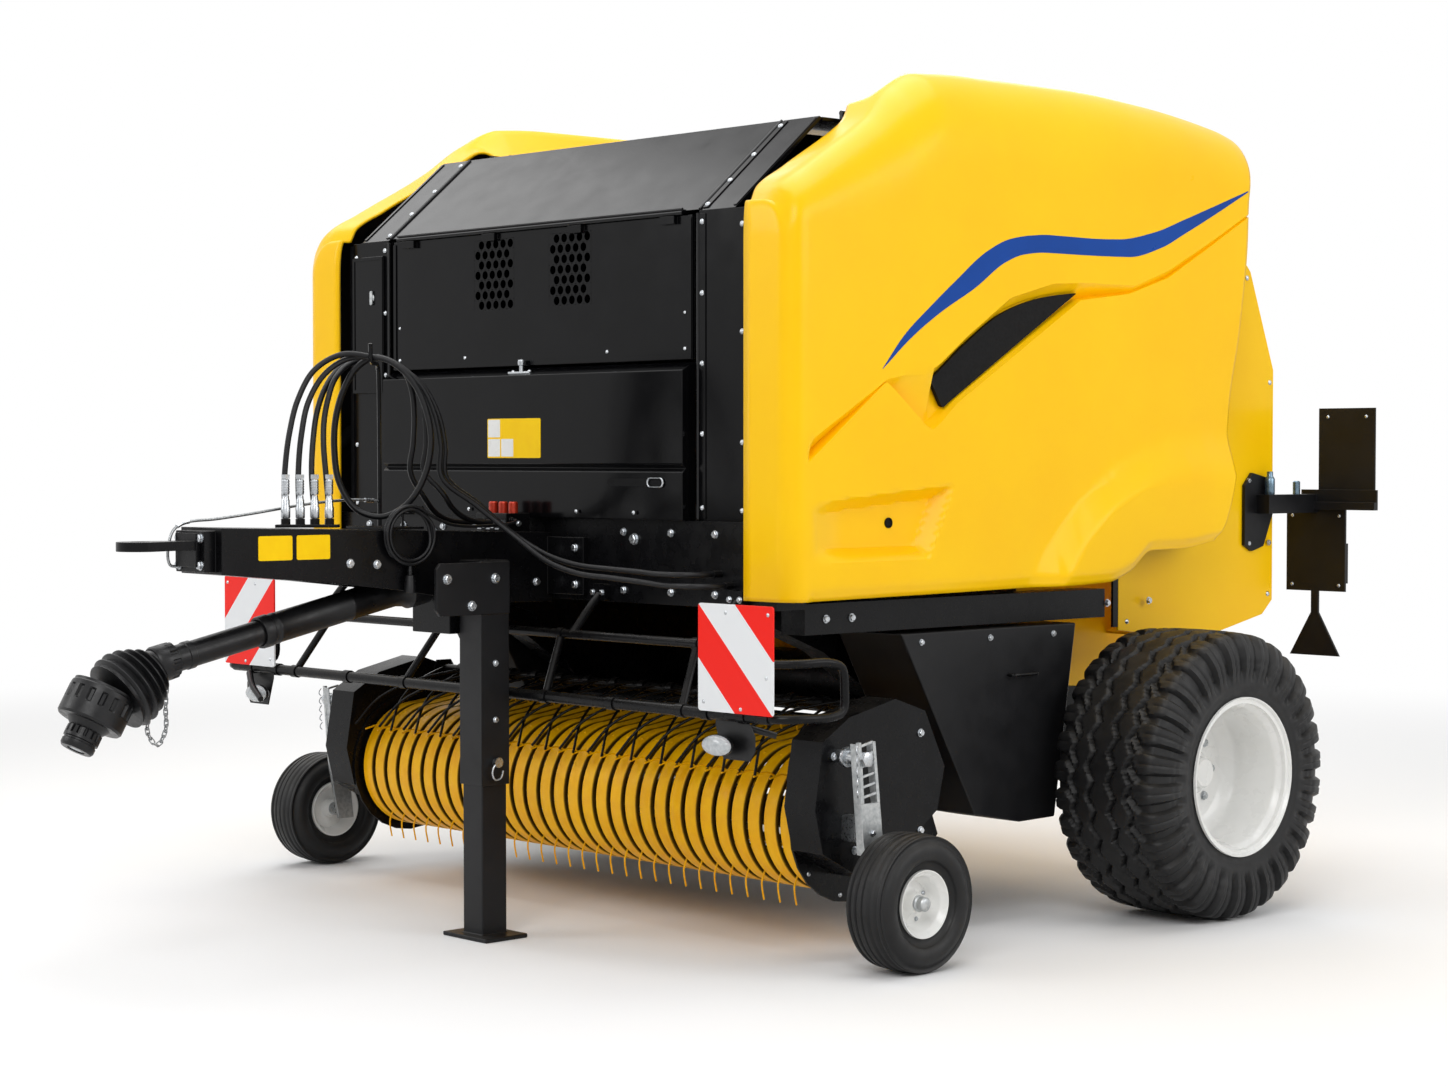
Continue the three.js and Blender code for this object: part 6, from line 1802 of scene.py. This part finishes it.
ovalLampSetup = {"place": np.array([1.072, -1.728, 0.612]), "halfAxes": (0.055, 1.0, 0.028)}
for sideName, sign in bothSigns:
    foil = boardFoil(
        f"red_white_board_foil_{sideName}", (sign * boardCentre.x, boardCentre.y, boardCentre.z), sign,
        boardSetup["bandWidth"],
    )
    low, high = (boardLow.x, boardFront, boardLow.z), (boardHigh.x, boardHigh.y - axleY, boardHigh.z)
    addPiece(
        f"warning_board_{sideName}_plate", onSide(sign, [slabShape(low, high, 1, boardSetup["corner"], 5)]), foil,
        replaces=[f"warning_board_{sideName}"], bevel=0.001, slot="reflective_board",
    )
    studs = [
        domeShape((x, boardFront, z), toFront, 0.0055, 0.003)
        for x, z in ((1.094, 0.958), (1.252, 0.958), (1.246, 0.796), (1.01, 0.722), (1.15, 0.71))
    ]
    addPiece(f"board_studs_{sideName}", onSide(sign, studs), zincPlate)
    # an oval lamp: a turned housing and lens of unit radius, drawn out to the oval, on a bracket
    housing = latheShape(
        [(-0.02, 0), (-0.02, 0.55), (-0.014, 0.8), (-0.004, 1.0), (0.004, 1.0), (0.004, 0)], origin, toFront, 40
    )
    lens = latheShape(
        [(0.004, 0), (0.004, 0.96), (0.011, 0.93), (0.018, 0.78), (0.022, 0.45), (0.0235, 0)], origin, toFront, 40
    )
    bracket = [
        prismShape(
            [(1.06, 0.574), (1.16, 0.574), (1.178, 0.6), (1.178, 0.64), (1.15, 0.684), (1.03, 0.684), (1.03, 0.66)],
            1, -1.6985, -1.6945,
        ),
        barShape([1.15, -1.69, 0.66], [1.2, -1.64, 0.64], 0.009, 12),
    ]
    addPiece(f"lamp_housing_{sideName}", onSide(sign, [ovalShape(housing)] + bracket), guardPlastic, bevel=0.0006)
    addPiece(f"lamp_lens_{sideName}", onSide(sign, [ovalShape(lens)]), clearLens, sharp=50)
leverLine = smoothPath([[-1.13, -1.72, 0.672], [-1.08, -1.745, 0.64], [-1.0, -1.765, 0.6]], 0.02)
lever = tubeShape(leverLine, np.interp(np.arange(len(leverLine)), [0, len(leverLine) - 1], [0.011, 0.009]), 14)
addPiece("guard_lever", [lever], guardPlastic)

# Side shields of textured sheet, each with a slot handle and bolts; the chassis beams behind them.
for sideName in ("left", "right"):
    dressNode(f"side_shield_{sideName}", shieldPowderCoat, 0.005)
shieldParts = [boltShape((1.05, y, 0.842), toSide, 0.009) for y in (-0.93, -0.36, -0.64)]
addPiece("shield_bolts", bothSides(shieldParts), zincPlate)
handle = smoothPath(
    [
        [1.05, -0.56, 0.73], [1.066, -0.56, 0.73], [1.072, -0.55, 0.73], [1.072, -0.46, 0.73], [1.066, -0.45, 0.73],
        [1.05, -0.45, 0.73],
    ],
    0.006,
)
addPiece("shield_handles", bothSides([tubeShape(handle, 0.005, 10)]), framePaint)
dressNode("chassis_frame", framePaint, 0.004)
dressNode("axle_beam", framePaint, 0.006)
frameBolts = [boltShape((1.04, y, 0.922), toSide, 0.011) for y in (-1.3, -1.2, -0.1, 0.1)]
frameBolts += [boltShape((x, -1.485, z), toFront, 0.011) for x in (0.42, 0.62, 0.8, 0.98) for z in (0.985, 1.15)]
frameBolts += [boltShape((x, -0.055, 0.425), toFront, 0.013) for x in (0.62, 0.76)]
addPiece("frame_bolts", bothSides(frameBolts), zincPlate)
print("drawbar, shaft and guard built")


# Tailgate and rear carriers.
dressNode("chamber_front", framePaint, 0.003)
dressNode("tailgate_shell", yellowEnamel, 0.002)
for sideName in ("left", "right"):
    dressNode(f"tailgate_cheek_{sideName}", yellowEnamel, 0.0015)
    dressNode(f"rear_carrier_{sideName}", shieldPowderCoat, 0.0015)
gateSetup = {
    "centre": (-0.06, 1.33),
    "skinRadius": 0.838,
    "ribPlaces": (-0.44, -0.147, 0.147, 0.44),
    "ribHalfWidth": 0.028,
    "ribHeight": 0.012,
    "ribTurns": (-58, 66),
    "ribSteps": 60,
}


# Pressed ribs round the tailgate's skin: a shallow trapezium carried round the arc.
def skinRib(x):
    g = gateSetup
    steps, half, height = g["ribSteps"], g["ribHalfWidth"], g["ribHeight"]
    arc = arcPoints((0, 0), 1.0, *g["ribTurns"], steps)
    ends = np.minimum(1, np.minimum(np.arange(steps + 1), np.arange(steps + 1)[::-1]) / 2.0)
    rises = np.array([-0.004, 0.0002, height, height, 0.0002, -0.004])
    offsets = np.array([-half, -half, -half * 0.55, half * 0.55, half, half])
    radius = g["skinRadius"] + np.where(rises > 0.001, rises[None] * ends[:, None], rises[None])
    flat = np.array(g["centre"]) + arc[:, None] * radius[..., None]
    across = np.broadcast_to(x + offsets, radius.shape)
    return gridShape(np.dstack([across, flat]), wrapColumns=True, flatEnds=True)


ribs = [skinRib(x) for x in gateSetup["ribPlaces"]]
addPiece("tailgate_ribs", ribs, yellowEnamel, "tailgate", sharp=40)
gateBolts = [
    domeShape((1.02, y, z), toSide, 0.0085, 0.005)
    for y,
    z in (
        (0.02, 0.86), (0.36, 0.812), (0.74, 0.92), (0.745, 1.3), (0.745, 1.6), (0.62, 1.93), (0.42, 1.73),
        (0.02, 1.69),
    )
]
addPiece("gate_bolts", bothSides(gateBolts), zincPlate, "tailgate")
strip = [prismShape([(-0.045, 0.845), (-0.021, 0.845), (-0.021, 1.7), (-0.045, 1.68)], 0, 1.011, 1.0195)]
addPiece("gate_edge_strip", bothSides(strip), framePaint, "tailgate", bevel=0.001)

carrierBolts = [boltShape((1.0203 + 0.006, y, z), toSide, 0.009) for y in (0.625, 0.735) for z in (1.085, 1.285)]
carrierBolts += [
    domeShape((x, 0.925, z), toFront, 0.006, 0.004)
    for x, z in (
        (1.12, 1.49), (1.265, 1.49), (1.265, 1.22), (0.985, 1.17), (1.165, 1.17), (0.985, 0.945), (1.165, 0.945)
    )
]
addPiece("carrier_bolts", bothSides(carrierBolts), zincPlate, "tailgate")
pins = [
    latheShape(
        [
            (0, 0), (0, 0.0145), (0.003, 0.016), (0.05, 0.016), (0.053, 0.0145), (0.06, 0.01), (0.074, 0.01),
            (0.074, 0),
        ],
        (1.052, 0.705, 1.24), toTop, 20,
    ),
    latheShape([(0, 0), (0, 0.012), (0.04, 0.012), (0.043, 0.009), (0.043, 0)], (1.052, 0.85, 1.24), toTop, 20),
]
addPiece("carrier_pins", bothSides(pins), bluedSteel, "tailgate")
for sideName, sign in bothSigns:
    tall = np.array([1.1915, 0.9325 + axleY, 1.3565])
    foil = boardFoil(
        f"rear_board_foil_{sideName}", (sign * tall[0], tall[1], tall[2]), -sign, boardSetup["bandWidth"]
    )
    addPiece(
        f"rear_board_{sideName}",
        onSide(sign, [slabShape((1.088, 0.931, 1.198), (1.295, 0.9325, 1.515), 1, 0.012, 5)]), foil, "tailgate",
        slot="reflective_board",
    )
    red = [
        slabShape((0.987, 0.9315, 0.953), (1.07, 0.9768, 1.077), 1, 0.012, 4),
        prismShape([(0.992, 0.722), (1.152, 0.722), (1.072, 0.862)], 1, 0.933, 0.9385),
        prismShape([(1.012, 0.734), (1.132, 0.734), (1.072, 0.84)], 1, 0.938, 0.9405),
    ]
    addPiece(f"rear_red_{sideName}", onSide(sign, red), redLens, "tailgate", bevel=0.0015)
    pale = [slabShape((1.073, 0.9315, 0.953), (1.163, 0.9768, 1.077), 1, 0.012, 4)]
    addPiece(f"rear_clear_{sideName}", onSide(sign, pale), clearLens, "tailgate", bevel=0.0015)
print("tailgate and carriers dressed")


# Floor, lights and world. The floor turns to plain white far from the machine.
floorSetup = {"halfSize": 45.0, "clearRadius": 4.2, "whiteRadius": 9.0}


# One where a ray is seen: straight, in a mirror or through glass.
def seenRays(tree):
    rays = addNode(tree, "LightPath")
    plain = addNode(
        tree, "Math", {"operation": "MAXIMUM"}, input0=rays.outputs["Is Camera Ray"],
        input1=rays.outputs["Is Glossy Ray"],
    )
    seen = addNode(tree, "Math", {"operation": "MAXIMUM"}, input0=plain, input1=rays.outputs["Is Transmission Ray"])
    return seen.outputs["Value"]


# Matt white paint that the lamps shade, blended into plain white away from the machine.
def floorFinish():
    material, tree, shader, place = startMaterial("matt_white_studio_floor", Roughness=0.75)
    shader.inputs["Base Color"].default_value = linearColour("#F8F8F8")
    shader.inputs["Specular IOR Level"].default_value = 0.2
    away = addNode(tree, "VectorMath", {"operation": "LENGTH"}, input0=place)
    outside = addNode(
        tree, "MapRange", {"interpolation_type": "SMOOTHSTEP"}, Value=away.outputs["Value"],
        From_Min=floorSetup["clearRadius"], From_Max=floorSetup["whiteRadius"],
    )
    seen = addNode(tree, "Math", {"operation": "MULTIPLY"}, input0=outside, input1=seenRays(tree))
    white = addNode(tree, "Emission", Color=(1, 1, 1, 1), Strength=1.0)
    blend = addNode(tree, "MixShader", input0=seen, input1=shader.outputs["BSDF"], input2=white.outputs["Emission"])
    tree.links.new(blend.outputs["Shader"], tree.nodes["Material Output"].inputs["Surface"])
    return material


half = floorSetup["halfSize"]
floorMesh = bpy.data.meshes.new("studio_floor")
floorMesh.from_pydata([(-half, -half, 0), (half, -half, 0), (half, half, 0), (-half, half, 0)], [], [(0, 1, 2, 3)])
floorMesh.materials.append(floorFinish())
newObject("studio_floor", floorMesh)


# Soft boxes: place, point looked at, width, height and power in watts.
lampSetup = {
    "key_soft_box": ((5.5, -6.5, 6.5), (0, 0, 1), 5.0, 4.0, 310),
    "side_soft_box": ((7.5, 2.5, 4.0), (0.8, 0.3, 1.2), 5.0, 3.5, 160),
    "front_soft_box": ((-4.5, -7.5, 4.5), (0, -1, 1), 4.0, 3.0, 150),
    "hood_soft_box": ((-4.8, -0.6, 6.4), (0, -1, 2), 3.6, 3.6, 70),
    "top_soft_box": ((0, 0.5, 7.5), (0, 0, 0), 6.0, 6.0, 290),
    "rear_soft_box": ((-6.0, 6.5, 5.0), (0, 1, 1), 5.0, 4.0, 180),
}
for name, (place, target, width, height, power) in lampSetup.items():
    data = bpy.data.lights.new(name, "AREA")
    data.shape = "RECTANGLE"
    data.size, data.size_y, data.energy = width, height, power
    lamp = newObject(name, data)
    lamp.location = place
    lamp.rotation_euler = (Vector(target) - Vector(place)).to_track_quat("-Z", "Y").to_euler()

world = bpy.data.worlds.new("studio_world")
bpy.context.scene.world = world
world.use_nodes = True
worldTree = world.node_tree
strength = addNode(worldTree, "MapRange", Value=seenRays(worldTree), To_Min=0.32, To_Max=1.0)
backdrop = worldTree.nodes["Background"]
backdrop.inputs["Color"].default_value = (1, 1, 1, 1)
worldTree.links.new(strength.outputs["Result"], backdrop.inputs["Strength"])
bpy.context.scene.view_settings.view_transform = "Standard"
print("lights and floor set")

print("pieces finished")
